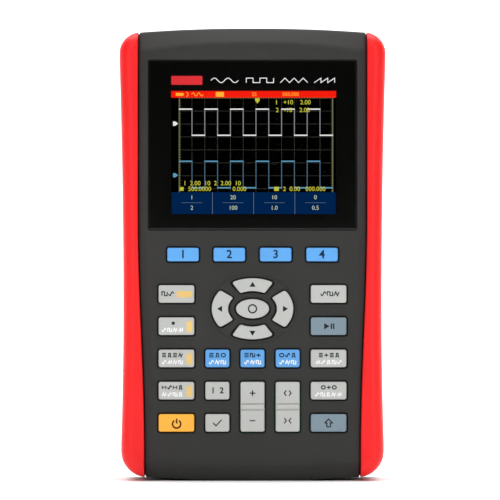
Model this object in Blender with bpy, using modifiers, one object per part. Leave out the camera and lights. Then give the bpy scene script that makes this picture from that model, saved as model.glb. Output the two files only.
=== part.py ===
"""Handheld two-channel oscilloscope, standing on its lower end with its face towards -Y.

A dark two-part case is held between two red side grips. The front half carries the display window and
the rubber keys, the rear half the battery, the tilt stand and the charging sockets, and a recess in the
upper end holds the two coaxial input sockets. Sizes are in metres, +Z up; the origin is at the middle
of the footprint.
"""

import math

import bmesh
import bpy
from mathutils import Matrix, Vector

MM = 0.001

# ---------------------------------------------------------------- overall size
HEIGHT = 199 * MM
WIDTH = 117 * MM  # across the grips at the shoulders
WAIST_WIDTH = 113.6 * MM
FOOT_WIDTH = 115.6 * MM
DEPTH = 49 * MM
SHOULDER_Z = HEIGHT - 14 * MM
WAIST_Z = 76 * MM
FOOT_Z = 16 * MM

# ---------------------------------------------------------------- clearances
SEAT_GAP = 0.3 * MM  # between pieces that touch on the real unit
SLOT_GAP = 0.4 * MM  # round a moving key or a fitted plate

# ---------------------------------------------------------------- the upper and lower ends
END_RADIUS = 590 * MM
END_LAND = 10 * MM  # flat middle of each end
HIGH_CORNER = 8.5 * MM
LOW_CORNER = 10.7 * MM

# ---------------------------------------------------------------- grips
GRIP_WALL = 3.3 * MM
GRIP_EDGE_WIDTH = 4.5 * MM  # how far in the rounded front edge reaches
GRIP_EDGE_DEPTH = 6.0 * MM
GRIP_TAIL = 3.0 * MM
GRIP_BACK_Y = 6.0 * MM

# ---------------------------------------------------------------- front face
FRONT_Y = -DEPTH / 2  # crest of the grips
BACK_Y = DEPTH / 2
FACE_Y = FRONT_Y + 1.7 * MM
FACE_TOP_WIDTH = 99.7 * MM  # between the grips, beside the window
FACE_FOOT_WIDTH = 94.2 * MM
FACE_NARROWS_FROM = 115 * MM
FACE_NARROWS_TO = 15 * MM
FACE_WALL = 2.5 * MM
SIDE_BEVEL = 3.3 * MM
SIDE_BEVEL_DROP = 1.0 * MM
END_SLOPE_DROP = 5.3 * MM
HOOD_SLOPE = 6.5 * MM
HOOD_BREAK_RADIUS = 245 * MM
FOOT_SLOPE = 7.0 * MM
FOOT_BREAK_RADIUS = 420 * MM
LEDGE_Y = FACE_Y + 3.0 * MM  # where the grips' inner lip rests
PARTING_Y = -4.0 * MM
CASE_WALL = 2.4 * MM

# ---------------------------------------------------------------- display
WINDOW_WIDTH = 91.3 * MM
WINDOW_HEIGHT = 74.4 * MM
WINDOW_TOP = HEIGHT - 14.2 * MM
WINDOW_THICK = 1.5 * MM
WINDOW_RECESS = 0.3 * MM
WINDOW_CORNER = 0.8 * MM
PICTURE_WIDTH = 72.5 * MM
PICTURE_HEIGHT = 54.1 * MM
PICTURE_LOW = 6.9 * MM  # picture's lower edge above the window's
PICTURE_MARGIN = 1.9 * MM
WINDOW_LEDGE = 1.9 * MM
MODULE_MARGIN = 3.0 * MM
MODULE_THICK = 3.5 * MM
HOLDER_WALL = 1.2 * MM

# ---------------------------------------------------------------- keys
KEY_STANDOUT = 1.2 * MM
NAV_STANDOUT = 1.6 * MM
KEY_TRAVEL = 1.0 * MM
KEY_EDGE = 0.35 * MM
KEY_CORNER = 1.0 * MM
FLANGE_WIDTH = 0.8 * MM
FLANGE_THICK = 1.0 * MM
PILL_INSET = 1.5 * MM
PILL_THICK = 1.2 * MM
PILL_STOP = 0.2 * MM  # left under a key at full travel
ROW_PITCH = 14.15 * MM
LOW_ROW_Z = 25.6 * MM
SIDE_COLUMN_X = 33.4 * MM
MIDDLE_PITCH = 15.43 * MM
SIDE_KEY = (15.8 * MM, 7.9 * MM)
MIDDLE_KEY = (10.7 * MM, 7.9 * MM)
FUNCTION_KEY = (14.0 * MM, 6.1 * MM)
FUNCTION_PITCH = 20.35 * MM
FUNCTION_BELOW_WINDOW = 10.9 * MM
NAV_Z = 75.7 * MM
OK_AXES = (7.35 * MM, 4.35 * MM)
NAV_INNER_AXES = (10.6 * MM, 7.7 * MM)
NAV_OUTER_AXES = (18.0 * MM, 13.5 * MM)
NAV_UPRIGHT_HALF_DEG = 38.5
NAV_LEVEL_HALF_DEG = 30.3
NAV_CORNER = 0.9 * MM
MOUND_AXES = (19.7 * MM, 15.3 * MM)
MOUND_RISE = 0.6 * MM
MOUND_EDGE = 1.0 * MM

# ---------------------------------------------------------------- input sockets and their recess
RECESS_DEPTH = 12.7 * MM
RECESS_WIDTH = 88 * MM
RECESS_WALL = 2.2 * MM
WALL_BELOW_PANEL = 4.0 * MM
HOOD_BACK_Y = -13.0 * MM
PANEL_THICK = 2.0 * MM
PANEL_GROOVE = 1.2 * MM
SKIN_OVERLAP = 1.2 * MM  # how far the recess walls run into the skin above them
SOCKET_X = 24 * MM
SOCKET_Y = 3 * MM
BARREL_RADIUS = 4.85 * MM
BARREL_BORE = 4.1 * MM
BARREL_HEIGHT = 11.5 * MM
SHOULDER_RADIUS = 7.4 * MM
SHOULDER_THICK = 2.2 * MM
THREAD_RADIUS = 6.2 * MM
THREAD_LENGTH = 9.0 * MM
NUT_RADIUS = 8.6 * MM
NUT_THICK = 2.6 * MM
LUG_RADIUS = 1.0 * MM
LUG_REACH = 1.3 * MM
LUG_DROP = 4.0 * MM
CORE_RADIUS = 3.8 * MM
NOSE_RADIUS = 2.4 * MM
CONTACT_RADIUS = 0.65 * MM
CONTACT_TAIL = 5.0 * MM

# ---------------------------------------------------------------- back of the case
BACK_SIDE_INSETS = (0.7 * MM, 1.2 * MM, 3.0 * MM, 8.0 * MM)
BACK_END_INSETS = (0.0, 0.0, 1.5 * MM, 6.0 * MM)
BACK_STEPS_Y = (GRIP_BACK_Y + SEAT_GAP, BACK_Y - 8.5 * MM, BACK_Y - 3.5 * MM, BACK_Y)
STAND_WIDTH = 75.4 * MM
STAND_LOW_Z = 30 * MM
STAND_THICK = 4.0 * MM
STAND_CORNER = 6.0 * MM
STAND_BAR = 10.5 * MM
HINGE_Z = 116 * MM
HINGE_RADIUS = 2.0 * MM
HINGE_PIN_RADIUS = 1.5 * MM
HINGE_PIN_REACH = 2.6 * MM
HINGE_Y = BACK_Y - 2.2 * MM
WELL_FLOOR_Y = HINGE_Y - STAND_THICK / 2 - SEAT_GAP
NOTCH_WIDTH = 20 * MM
NOTCH_DROP = 9.5 * MM
NOTCH_DEPTH = 5.2 * MM

# ---------------------------------------------------------------- battery
DOOR_THICK = 2.3 * MM
DOOR_WIDTH = 72.4 * MM
DOOR_LOW_Z = 34.5 * MM
DOOR_HIGH_Z = 109.5 * MM
DOOR_RIM = 1.5 * MM
DOOR_CORNER = 2.0 * MM
BAY_WALL = 3.0 * MM
BAY_FLOOR = 1.6 * MM
BATTERY_THICK = 13.0 * MM
EAR_RADIUS = 5.5 * MM
EAR_SCREW_Z = DOOR_HIGH_Z + 2.6 * MM

# ---------------------------------------------------------------- screws and bosses
SCREW_RADIUS = 1.45 * MM
SCREW_HEAD_RADIUS = 2.75 * MM
SCREW_HEAD_THICK = 1.9 * MM
SCREW_SINK = 0.8 * MM
SCREW_TIP_Y = -13.0 * MM
BOSS_RADIUS = 3.6 * MM
REAR_BOSS_RADIUS = 4.3 * MM
THREAD_GAP = 0.2 * MM
HEAD_GAP = 0.35 * MM
UPPER_BOSS = (45.5 * MM, HEIGHT - 27 * MM)
LOWER_BOSS = (38.0 * MM, 10.2 * MM)
DOOR_SCREW_RADIUS = 1.2 * MM
DOOR_SCREW_HEAD = (2.3 * MM, 1.2 * MM)
DOOR_SCREW_LENGTH = 8.0 * MM
POST_RADIUS = 2.2 * MM

# ---------------------------------------------------------------- boards
BOARD_THICK = 1.6 * MM
KEY_BOARD_WIDTH = 87 * MM
MAT_MARGIN = 1.2 * MM
MAIN_BOARD_WIDTH = 80.6 * MM
MAIN_BOARD_Y = -2.0 * MM
MAIN_BOARD_LOW = 16 * MM
POWER_BOARD_Y = 4.0 * MM
POWER_BOARD_Z = (124 * MM, 164 * MM)
POWER_BOARD_LEFT = 46 * MM
POWER_BOARD_RIGHT = 50 * MM

# ---------------------------------------------------------------- side sockets and their cover
PORT_Y = 11.5 * MM
DC_Z = 149.5 * MM
USB_Z = 134 * MM
COVER_Y = (7.4 * MM, 15.8 * MM)
COVER_Z = (127 * MM, 157 * MM)
COVER_THICK = 1.6 * MM
COVER_OUTER_X = 56.2 * MM
COVER_PULL = 3.0 * MM
DC_SNOUT_RADIUS = 3.8 * MM
DC_BORE_RADIUS = 3.0 * MM
USB_SNOUT = (8.6 * MM, 4.6 * MM)
USB_SLOT = (7.0 * MM, 3.0 * MM)
PORT_BODY_X = 50.6 * MM

# ---------------------------------------------------------------- heights in the stack behind the face
FACE_INNER_Y = FACE_Y + FACE_WALL
FLANGE_FRONT_Y = FACE_INNER_Y + SEAT_GAP
FLANGE_BACK_Y = FLANGE_FRONT_Y + FLANGE_THICK
PILL_BACK_Y = FLANGE_BACK_Y + PILL_THICK
KEY_BOARD_Y = PILL_BACK_Y + KEY_TRAVEL + PILL_STOP
MAT_BACK_Y = KEY_BOARD_Y - SEAT_GAP
WINDOW_FRONT_Y = FACE_Y + WINDOW_RECESS
WINDOW_BACK_Y = WINDOW_FRONT_Y + WINDOW_THICK
LEDGE_BACK_Y = WINDOW_BACK_Y + SEAT_GAP + WINDOW_LEDGE
MODULE_FRONT_Y = LEDGE_BACK_Y + SEAT_GAP
MODULE_BACK_Y = MODULE_FRONT_Y + MODULE_THICK
HOLDER_BACK_Y = MODULE_BACK_Y + SEAT_GAP + HOLDER_WALL
BACK_INNER_Y = BACK_Y - CASE_WALL
MAIN_BOARD_BACK_Y = MAIN_BOARD_Y + BOARD_THICK
POWER_BOARD_BACK_Y = POWER_BOARD_Y + BOARD_THICK
DOOR_BACK_Y = WELL_FLOOR_Y
DOOR_FRONT_Y = DOOR_BACK_Y - DOOR_THICK
BATTERY_BACK_Y = DOOR_FRONT_Y - SEAT_GAP
BATTERY_FRONT_Y = BATTERY_BACK_Y - BATTERY_THICK
BAY_INNER_Y = BATTERY_FRONT_Y - SEAT_GAP
BAY_OUTER_Y = BAY_INNER_Y - BAY_FLOOR
RECESS_FLOOR_Z = HEIGHT - RECESS_DEPTH
PANEL_HIGH_Z = RECESS_FLOOR_Z - SEAT_GAP
PANEL_LOW_Z = PANEL_HIGH_Z - PANEL_THICK

# ---------------------------------------------------------------- places derived from those
WINDOW_LOW = WINDOW_TOP - WINDOW_HEIGHT
PICTURE_Z = WINDOW_LOW + PICTURE_LOW + PICTURE_HEIGHT / 2
MODULE_SIZE = (PICTURE_WIDTH + 2 * MODULE_MARGIN, PICTURE_HEIGHT + 2 * MODULE_MARGIN)
FUNCTION_Z = WINDOW_LOW - FUNCTION_BELOW_WINDOW
ROWS_Z = [LOW_ROW_Z + row * ROW_PITCH for row in range(5)]
ROCKER_Z = (ROWS_Z[0] + ROWS_Z[1]) / 2
ROCKER_AXIS_Y = (FLANGE_FRONT_Y + FLANGE_BACK_Y) / 2
ROCKER_KEY = (MIDDLE_KEY[0], ROW_PITCH + MIDDLE_KEY[1])
KEY_MAT_HALF = SIDE_COLUMN_X + SIDE_KEY[0] / 2 + FLANGE_WIDTH + SLOT_GAP + MAT_MARGIN
KEY_MAT_LOW = LOW_ROW_Z - SIDE_KEY[1] / 2 - FLANGE_WIDTH - SLOT_GAP - MAT_MARGIN
KEY_MAT_HIGH = FUNCTION_Z + FUNCTION_KEY[1] / 2 + FLANGE_WIDTH + SLOT_GAP + MAT_MARGIN
DOOR_MIDDLE_Z = (DOOR_LOW_Z + DOOR_HIGH_Z) / 2
HEAD_FLOOR_Y = BACK_Y - SCREW_SINK - SCREW_HEAD_THICK - SEAT_GAP

GREY_KEYS = {
    "mode_key": (-SIDE_COLUMN_X, ROWS_Z[4], SIDE_KEY),
    "acquire_key": (-SIDE_COLUMN_X, ROWS_Z[3], SIDE_KEY),
    "configure_key": (-SIDE_COLUMN_X, ROWS_Z[2], SIDE_KEY),
    "cursor_key": (-SIDE_COLUMN_X, ROWS_Z[1], SIDE_KEY),
    "auto_key": (SIDE_COLUMN_X, ROWS_Z[4], SIDE_KEY),
    "utility_key": (SIDE_COLUMN_X, ROWS_Z[2], SIDE_KEY),
    "help_key": (SIDE_COLUMN_X, ROWS_Z[1], SIDE_KEY),
    "channel_key": (-MIDDLE_PITCH, ROWS_Z[1], MIDDLE_KEY),
    "select_key": (-MIDDLE_PITCH, ROWS_Z[0], MIDDLE_KEY),
}
SLATE_KEYS = {
    "run_stop_key": (SIDE_COLUMN_X, ROWS_Z[3], SIDE_KEY),
    "shift_key": (SIDE_COLUMN_X, ROWS_Z[0], SIDE_KEY),
}
BLUE_KEYS = {
    "status_key": (-MIDDLE_PITCH, ROWS_Z[2], MIDDLE_KEY),
    "storage_key": (0, ROWS_Z[2], MIDDLE_KEY),
    "reference_key": (MIDDLE_PITCH, ROWS_Z[2], MIDDLE_KEY),
}
for number in range(4):
    BLUE_KEYS[f"function_key_{number + 1}"] = ((number - 1.5) * FUNCTION_PITCH, FUNCTION_Z, FUNCTION_KEY)
ORANGE_KEYS = {"power_key": (-SIDE_COLUMN_X, ROWS_Z[0], SIDE_KEY)}
PLAIN_KEYS = {**GREY_KEYS, **SLATE_KEYS, **BLUE_KEYS, **ORANGE_KEYS}
ROCKERS = {"volts_rocker": 0.0, "time_rocker": MIDDLE_PITCH}
NAV_KEYS = {
    "right_key": (0, NAV_LEVEL_HALF_DEG),
    "up_key": (90, NAV_UPRIGHT_HALF_DEG),
    "left_key": (180, NAV_LEVEL_HALF_DEG),
    "down_key": (270, NAV_UPRIGHT_HALF_DEG),
}
BOSSES = [(side * x, z) for x, z in (UPPER_BOSS, LOWER_BOSS) for side in (-1, 1)]


# ================================================================ scene and materials
def clear_scene():
    for old in list(bpy.data.objects):
        bpy.data.objects.remove(old)


def new_collection(name):
    made = bpy.data.collections.new(name)
    bpy.context.scene.collection.children.link(made)
    return made


def new_material(name, colour, roughness, metallic=0.0, alpha=1.0):
    made = bpy.data.materials.new(name)
    made.use_nodes = True
    shader = made.node_tree.nodes["Principled BSDF"]
    shader.inputs["Base Color"].default_value = (*colour, 1)
    shader.inputs["Roughness"].default_value = roughness
    shader.inputs["Metallic"].default_value = metallic
    shader.inputs["Alpha"].default_value = alpha
    return made


clear_scene()
PARTS = new_collection("handheld_oscilloscope")
CUTTERS = new_collection("cutters")

DARK_CASE = new_material("dark_case", (0.045, 0.045, 0.043), 0.5)
RED_GRIP = new_material("red_grip", (0.86, 0.03, 0.03), 0.55)
GREY_KEY = new_material("grey_key", (0.55, 0.55, 0.53), 0.6)
BLUE_KEY = new_material("blue_key", (0.13, 0.42, 0.8), 0.6)
SLATE_KEY = new_material("slate_key", (0.27, 0.36, 0.44), 0.6)
ORANGE_KEY = new_material("orange_key", (0.93, 0.48, 0.06), 0.6)
BLACK_GLASS = new_material("black_glass", (0.004, 0.004, 0.004), 0.06)
DISPLAY = new_material("display", (0.02, 0.02, 0.025), 0.3)
WHITE_PLASTIC = new_material("white_plastic", (0.75, 0.75, 0.72), 0.5)
MAT_RUBBER = new_material("mat_rubber", (0.30, 0.30, 0.29), 0.8)
BLACK_RUBBER = new_material("black_rubber", (0.02, 0.02, 0.02), 0.75)
BLACK_PLASTIC = new_material("black_plastic", (0.015, 0.015, 0.015), 0.45)
CIRCUIT_BOARD = new_material("circuit_board", (0.02, 0.16, 0.06), 0.4)
NICKEL = new_material("nickel", (0.62, 0.60, 0.56), 0.25, 1.0)
TIN = new_material("tinned_steel", (0.55, 0.56, 0.57), 0.35, 1.0)
STEEL = new_material("screw_steel", (0.25, 0.25, 0.26), 0.35, 1.0)
GOLD = new_material("gold_contact", (0.85, 0.62, 0.25), 0.25, 1.0)
DIELECTRIC = new_material("dielectric", (0.85, 0.85, 0.82), 0.45)
CELL_WRAP = new_material("cell_wrap", (0.05, 0.09, 0.28), 0.35)


# ================================================================ outlines in the XZ plane
def rounded(corners, segments=3):
    """The closed outline through corners (x, z, radius), each radius drawn as an arc tangent to both sides."""
    points = []
    for index, (x, z, radius) in enumerate(corners):
        here = Vector((x, z))
        if radius <= 0:
            points.append(here)
            continue
        before = Vector(corners[index - 1][:2]) - here
        after = Vector(corners[(index + 1) % len(corners)][:2]) - here
        before.normalize()
        after.normalize()
        half = before.angle(after) / 2
        centre = here + (before + after).normalized() * (radius / math.sin(half))
        start = here + before * (radius / math.tan(half)) - centre
        turn = start.angle_signed(here + after * (radius / math.tan(half)) - centre)
        for step in range(segments + 1):
            spun = start.copy()
            spun.rotate(Matrix.Rotation(-turn * step / segments, 2))
            points.append(centre + spun)
    return points


def rectangle(x, z, width, height, corner=0.0, segments=3):
    right, high = width / 2, height / 2
    return rounded(
        [
            (x - right, z - high, corner),
            (x + right, z - high, corner),
            (x + right, z + high, corner),
            (x - right, z + high, corner),
        ],
        segments,
    )


def ellipse(x, z, axes, grow=0.0, segments=24):
    turns = [2 * math.pi * step / segments for step in range(segments)]
    return [Vector((x + (axes[0] + grow) * math.cos(t), z + (axes[1] + grow) * math.sin(t))) for t in turns]


def nav_sector(middle_deg, half_deg, grow):
    """One arrow key: the part of an oval ring between two lines from its centre, grown by grow on all sides."""
    outer = (NAV_OUTER_AXES[0] + grow, NAV_OUTER_AXES[1] + grow)
    inner = (NAV_INNER_AXES[0] - grow, NAV_INNER_AXES[1] - grow)

    def reach(axes, angle):
        return axes[0] * axes[1] / math.hypot(axes[1] * math.cos(angle), axes[0] * math.sin(angle))

    def arc(axes, steps):
        edge = math.radians(middle_deg + half_deg)
        spread = math.radians(half_deg) + math.asin(grow / reach(axes, edge))
        for step in range(steps + 1):
            angle = math.radians(middle_deg) + spread * (2 * step / steps - 1)
            size = reach(axes, angle)
            yield size * math.cos(angle), NAV_Z + size * math.sin(angle)

    corner = max(NAV_CORNER + grow, 0.3 * MM)
    outside = list(arc(outer, 6))
    inside = list(arc(inner, 4))[::-1]
    ring = []
    for run in (outside, inside):
        ring += [(x, z, corner if (x, z) in (run[0], run[-1]) else 0.0) for x, z in run]
    return rounded(ring, 2)


def end_rise(x, radius=END_RADIUS):
    """How far an end has curved in at x; its middle is flat over the land."""
    over = max(abs(x) - END_LAND / 2, 0)
    return radius - math.sqrt(radius**2 - over**2)


def half_width(z):
    """Half the silhouette's width: narrowest at the waist, growing with the square of the distance from it."""
    if z > WAIST_Z:
        share, edge = (z - WAIST_Z) / (SHOULDER_Z - WAIST_Z), WIDTH
    else:
        share, edge = (WAIST_Z - z) / (WAIST_Z - FOOT_Z), FOOT_WIDTH
    return (WAIST_WIDTH + (edge - WAIST_WIDTH) * min(share, 1) ** 2) / 2


def face_half_width(z):
    """Half the width of the grey face between the grips: a smooth step from the foot to the window."""
    share = (z - FACE_NARROWS_TO) / (FACE_NARROWS_FROM - FACE_NARROWS_TO)
    share = min(max(share, 0), 1)
    return (FACE_FOOT_WIDTH + (FACE_TOP_WIDTH - FACE_FOOT_WIDTH) * share**2 * (3 - 2 * share)) / 2


def case_outline(side, low, high, low_corner, high_corner, side_steps=8, end_steps=3, segments=3):
    """A tall outline: side(z) is its half width, low(x) and high(x) its ends. Every call gives as many points."""
    right = []
    for end, corner, order in ((low, low_corner, 1), (high, high_corner, -1)):
        corner_x = side(end(0))
        last_x = corner_x - 1.3 * corner
        along = [END_LAND / 2 + (last_x - END_LAND / 2) * step / end_steps for step in range(end_steps + 1)]
        run = [(x, end(x), 0.0) for x in along] + [(corner_x, end(corner_x), corner)]
        if order > 0:
            right += run
            start_z = end(corner_x) + 1.3 * corner
            stop_z = high(side(high(0))) - 1.3 * high_corner
            for step in range(side_steps + 1):
                z = start_z + (stop_z - start_z) * step / side_steps
                right.append((side(z), z, 0.0))
        else:
            right += run[::-1]
    left = [(-x, z, corner) for x, z, corner in reversed(right)]
    return rounded(right + left, segments)


def body_outline(side_inset, end_inset=None, corner_inset=None):
    """The whole unit's silhouette, drawn in by an inset at the sides and another at the ends."""
    end_inset = side_inset if end_inset is None else end_inset
    corner_inset = side_inset if corner_inset is None else corner_inset
    return case_outline(
        lambda z: half_width(z) - side_inset,
        lambda x: end_inset + end_rise(x),
        lambda x: HEIGHT - end_inset - end_rise(x),
        LOW_CORNER - corner_inset,
        HIGH_CORNER - corner_inset,
    )


def face_outline(side_inset, end_share=0.0, end_inset=0.0, corner=0.8 * MM):
    """The grey face between the grips. end_share 1 stops at the lines where the ends start to slope."""

    def low(x):
        broken = FOOT_SLOPE + end_rise(x, FOOT_BREAK_RADIUS)
        return end_inset + end_rise(x) + (broken - end_rise(x)) * end_share

    def high(x):
        broken = HOOD_SLOPE + end_rise(x, HOOD_BREAK_RADIUS)
        return HEIGHT - end_inset - end_rise(x) - (broken - end_rise(x)) * end_share

    return case_outline(lambda z: face_half_width(z) - side_inset, low, high, corner, corner, segments=1)


# ================================================================ solids
# Pieces with so many cuts in one flat rim that the exact solver leaves a gap in it.
LONG_CHAINS = ("rear_case",)


def place(name, mesh, collection=None):
    made = bpy.data.objects.new(name, mesh)
    (collection or CUTTERS).objects.link(made)
    if collection is None:
        made.hide_render = True
        made.display_type = "WIRE"
    return made


def prism(name, outlines, front, back, collection=None):
    """A flat outline, or several, in the XZ plane, given thickness from y = front to y = back."""
    outlines = outlines if isinstance(outlines[0], (list, tuple)) else [outlines]
    curve = bpy.data.curves.new(name, "CURVE")
    curve.dimensions = "2D"
    curve.fill_mode = "BOTH"
    curve.extrude = (back - front) / 2
    for outline in outlines:
        spline = curve.splines.new("POLY")
        spline.points.add(len(outline) - 1)
        spline.use_cyclic_u = True
        for point, (x, z) in zip(spline.points, outline):
            point.co = (x, z, 0, 1)
    drawn = bpy.data.objects.new(name + "_outline", curve)
    bpy.context.scene.collection.objects.link(drawn)
    bpy.context.view_layer.update()
    graph = bpy.context.evaluated_depsgraph_get()
    mesh = bpy.data.meshes.new_from_object(drawn.evaluated_get(graph))
    bpy.data.objects.remove(drawn)
    shape = bmesh.new()
    shape.from_mesh(mesh)
    bmesh.ops.remove_doubles(shape, verts=shape.verts, dist=1e-7)
    for vert in shape.verts:
        vert.co = (vert.co.x, front if vert.co.z > 0 else back, vert.co.y)
    shape.to_mesh(mesh)
    shape.free()
    return place(name, mesh, collection)


def cap(shape, loop):
    """Closes a loop: a ladder of quads where its left half mirrors its right, or else a single face."""
    pairs = list(zip(loop, reversed(loop)))[: len(loop) // 2]
    if any(abs(right.co.x + left.co.x) > 1e-7 or right.co.x <= 0 for right, left in pairs):
        shape.faces.new(loop)
        return
    for low, high in zip(pairs, pairs[1:]):
        shape.faces.new((low[0], high[0], high[1], low[1]))


def loft(name, rings, collection=None):
    """A closed skin over rings (y, outline) of as many points each, the first one in front."""
    shape = bmesh.new()
    loops = [[shape.verts.new((x, y, z)) for x, z in outline] for y, outline in rings]
    for front, back in zip(loops, loops[1:]):
        for index in range(len(front)):
            after = (index + 1) % len(front)
            shape.faces.new((front[index], back[index], back[after], front[after]))
    for loop in (loops[0], loops[-1]):
        cap(shape, loop)
    shape.normal_update()
    bmesh.ops.recalc_face_normals(shape, faces=shape.faces)
    mesh = bpy.data.meshes.new(name)
    shape.to_mesh(mesh)
    shape.free()
    return place(name, mesh, collection)


def box(name, x, y, z, collection=None, bevel=0.0):
    """A block given by its (low, high) along each axis, its edges rounded by bevel."""
    shape = bmesh.new()
    bmesh.ops.create_cube(shape, size=1)
    for vert in shape.verts:
        vert.co = [span[side > 0] for span, side in zip((x, y, z), vert.co)]
    mesh = bpy.data.meshes.new(name)
    shape.to_mesh(mesh)
    shape.free()
    made = place(name, mesh, collection)
    if bevel:
        rounding = made.modifiers.new("rounded_edges", "BEVEL")
        rounding.width = bevel
        rounding.segments = 2
    return made


def cylinder(name, axis, centre, radius, span, collection=None, segments=16):
    """A round bar along axis X, Y or Z from span[0] to span[1]; centre is the other two coordinates."""
    shape = bmesh.new()
    bmesh.ops.create_cone(
        shape, cap_ends=True, segments=segments, radius1=radius, radius2=radius, depth=span[1] - span[0]
    )
    for vert in shape.verts:
        along = span[vert.co.z > 0]
        across, up = centre[0] + vert.co.x, centre[1] + vert.co.y
        vert.co = {"X": (along, across, up), "Y": (across, along, up), "Z": (across, up, along)}[axis]
    shape.normal_update()
    bmesh.ops.recalc_face_normals(shape, faces=shape.faces)
    mesh = bpy.data.meshes.new(name)
    shape.to_mesh(mesh)
    shape.free()
    return place(name, mesh, collection)


def turned(name, profile, matrix, collection=None, steps=20):
    """A profile of (radius, height) pairs, down its outer side first, turned about the local Z axis."""
    mesh = bpy.data.meshes.new(name)
    closed = profile[0][0] > 0 and profile[-1][0] > 0
    edges = [(index, index + 1) for index in range(len(profile) - 1)]
    if closed:
        edges.append((len(profile) - 1, 0))
    mesh.from_pydata([(radius, 0, height) for radius, height in profile], edges, [])
    made = place(name, mesh, collection)
    made.matrix_world = matrix
    screw = made.modifiers.new("turned", "SCREW")
    screw.steps = steps
    screw.render_steps = steps
    screw.use_merge_vertices = True
    screw.merge_threshold = 1e-6
    return made


def gathered(name, pieces):
    """Several tools made one, so that one Boolean uses them all."""
    graph = bpy.context.evaluated_depsgraph_get()
    bpy.context.view_layer.update()
    shape = bmesh.new()
    for piece in pieces:
        mesh = bpy.data.meshes.new_from_object(piece.evaluated_get(graph))
        mesh.transform(piece.matrix_world)
        shape.from_mesh(mesh)
        bpy.data.objects.remove(piece)
    mesh = bpy.data.meshes.new(name)
    shape.to_mesh(mesh)
    shape.free()
    return place(name, mesh)


def boolean(target, tool, operation):
    step = target.modifiers.new(tool.name, "BOOLEAN")
    step.operation = operation
    step.object = tool
    step.solver = "MANIFOLD" if target.name in LONG_CHAINS else "EXACT"
    return target


def cut(target, *tools):
    for tool in tools:
        boolean(target, tool, "DIFFERENCE")
    return target


def join(target, *tools):
    for tool in tools:
        boolean(target, tool, "UNION")
    return target


def hang(made, pivot):
    """Puts an empty on the moving piece's joint axis and parents the piece to it."""
    empty = bpy.data.objects.new(made.name + "_pivot", None)
    PARTS.objects.link(empty)
    empty.location = pivot
    made.parent = empty
    made.matrix_parent_inverse = Matrix.Translation(pivot).inverted()
    return made


def finish(made, material):
    """Gives the piece its material and smooth round faces."""
    made.data.materials.clear()
    made.data.materials.append(material)
    made.data.shade_smooth()
    made.data.set_sharp_from_angle(angle=math.radians(30))
    return made


# ================================================================ keys
def key_outline(name, grow):
    if name in PLAIN_KEYS:
        x, z, (width, height) = PLAIN_KEYS[name]
        return rectangle(x, z, width + 2 * grow, height + 2 * grow, max(KEY_CORNER + grow, 0.3 * MM), 2)
    if name in ROCKERS:
        width, height = ROCKER_KEY
        corner = max(KEY_CORNER + grow, 0.3 * MM)
        return rectangle(ROCKERS[name], ROCKER_Z, width + 2 * grow, height + 2 * grow, corner, 2)
    if name == "ok_key":
        return ellipse(0, NAV_Z, OK_AXES, grow, 20)
    return nav_sector(*NAV_KEYS[name], grow)


def key_material(name):
    for keys, material in ((SLATE_KEYS, SLATE_KEY), (BLUE_KEYS, BLUE_KEY), (ORANGE_KEYS, ORANGE_KEY)):
        if name in keys:
            return material
    return GREY_KEY


def make_key(name):
    """Cap, retaining flange behind the face, and the pill that closes the contact."""
    standout = NAV_STANDOUT if name in NAV_KEYS or name == "ok_key" else KEY_STANDOUT
    top = FACE_Y - standout
    rings = [
        (top, key_outline(name, -KEY_EDGE)),
        (top + KEY_EDGE, key_outline(name, 0)),
        (FLANGE_FRONT_Y, key_outline(name, 0)),
        (FLANGE_FRONT_Y, key_outline(name, FLANGE_WIDTH)),
        (FLANGE_BACK_Y, key_outline(name, FLANGE_WIDTH)),
        (FLANGE_BACK_Y, key_outline(name, -PILL_INSET)),
        (PILL_BACK_Y, key_outline(name, -PILL_INSET)),
    ]
    made = finish(loft(name, rings, PARTS), key_material(name))
    x, z = PLAIN_KEYS[name][:2] if name in PLAIN_KEYS else (0, NAV_Z)
    return hang(made, (x, FLANGE_FRONT_Y, z))


def make_rocker(name):
    """A two-way key: it rocks on side tabs at its middle and has a pill under each end."""
    x = ROCKERS[name]
    top = FACE_Y - KEY_STANDOUT
    made = loft(
        name,
        [
            (top, key_outline(name, -KEY_EDGE)),
            (top + KEY_EDGE, key_outline(name, 0)),
            (FLANGE_BACK_Y, key_outline(name, 0)),
        ],
        PARTS,
    )
    tab_half = ROCKER_KEY[0] / 2 + FLANGE_WIDTH
    pill_half = ROCKER_KEY[0] / 2 - PILL_INSET
    tools = [
        box("rocker_tabs", (x - tab_half, x + tab_half), (FLANGE_FRONT_Y, FLANGE_BACK_Y),
            (ROCKER_Z - 2 * MM, ROCKER_Z + 2 * MM)),
    ]
    for side in (-1, 1):
        middle = ROCKER_Z + side * ROW_PITCH / 2
        tools.append(
            box("rocker_pill", (x - pill_half, x + pill_half), (FLANGE_BACK_Y - 0.5 * MM, PILL_BACK_Y),
                (middle - 2 * MM, middle + 2 * MM))
        )
    join(made, *tools)
    return hang(finish(made, GREY_KEY), (x, ROCKER_AXIS_Y, ROCKER_Z))


KEY_NAMES = [*PLAIN_KEYS, "ok_key", *NAV_KEYS]
for key_name in KEY_NAMES:
    make_key(key_name)
for key_name in ROCKERS:
    make_rocker(key_name)


def key_holes(name, grow, front, back):
    """A slot for every key, as one tool."""
    slots = [prism("slot", key_outline(key, grow), front, back) for key in [*KEY_NAMES, *ROCKERS]]
    return gathered(name, slots)


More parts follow.
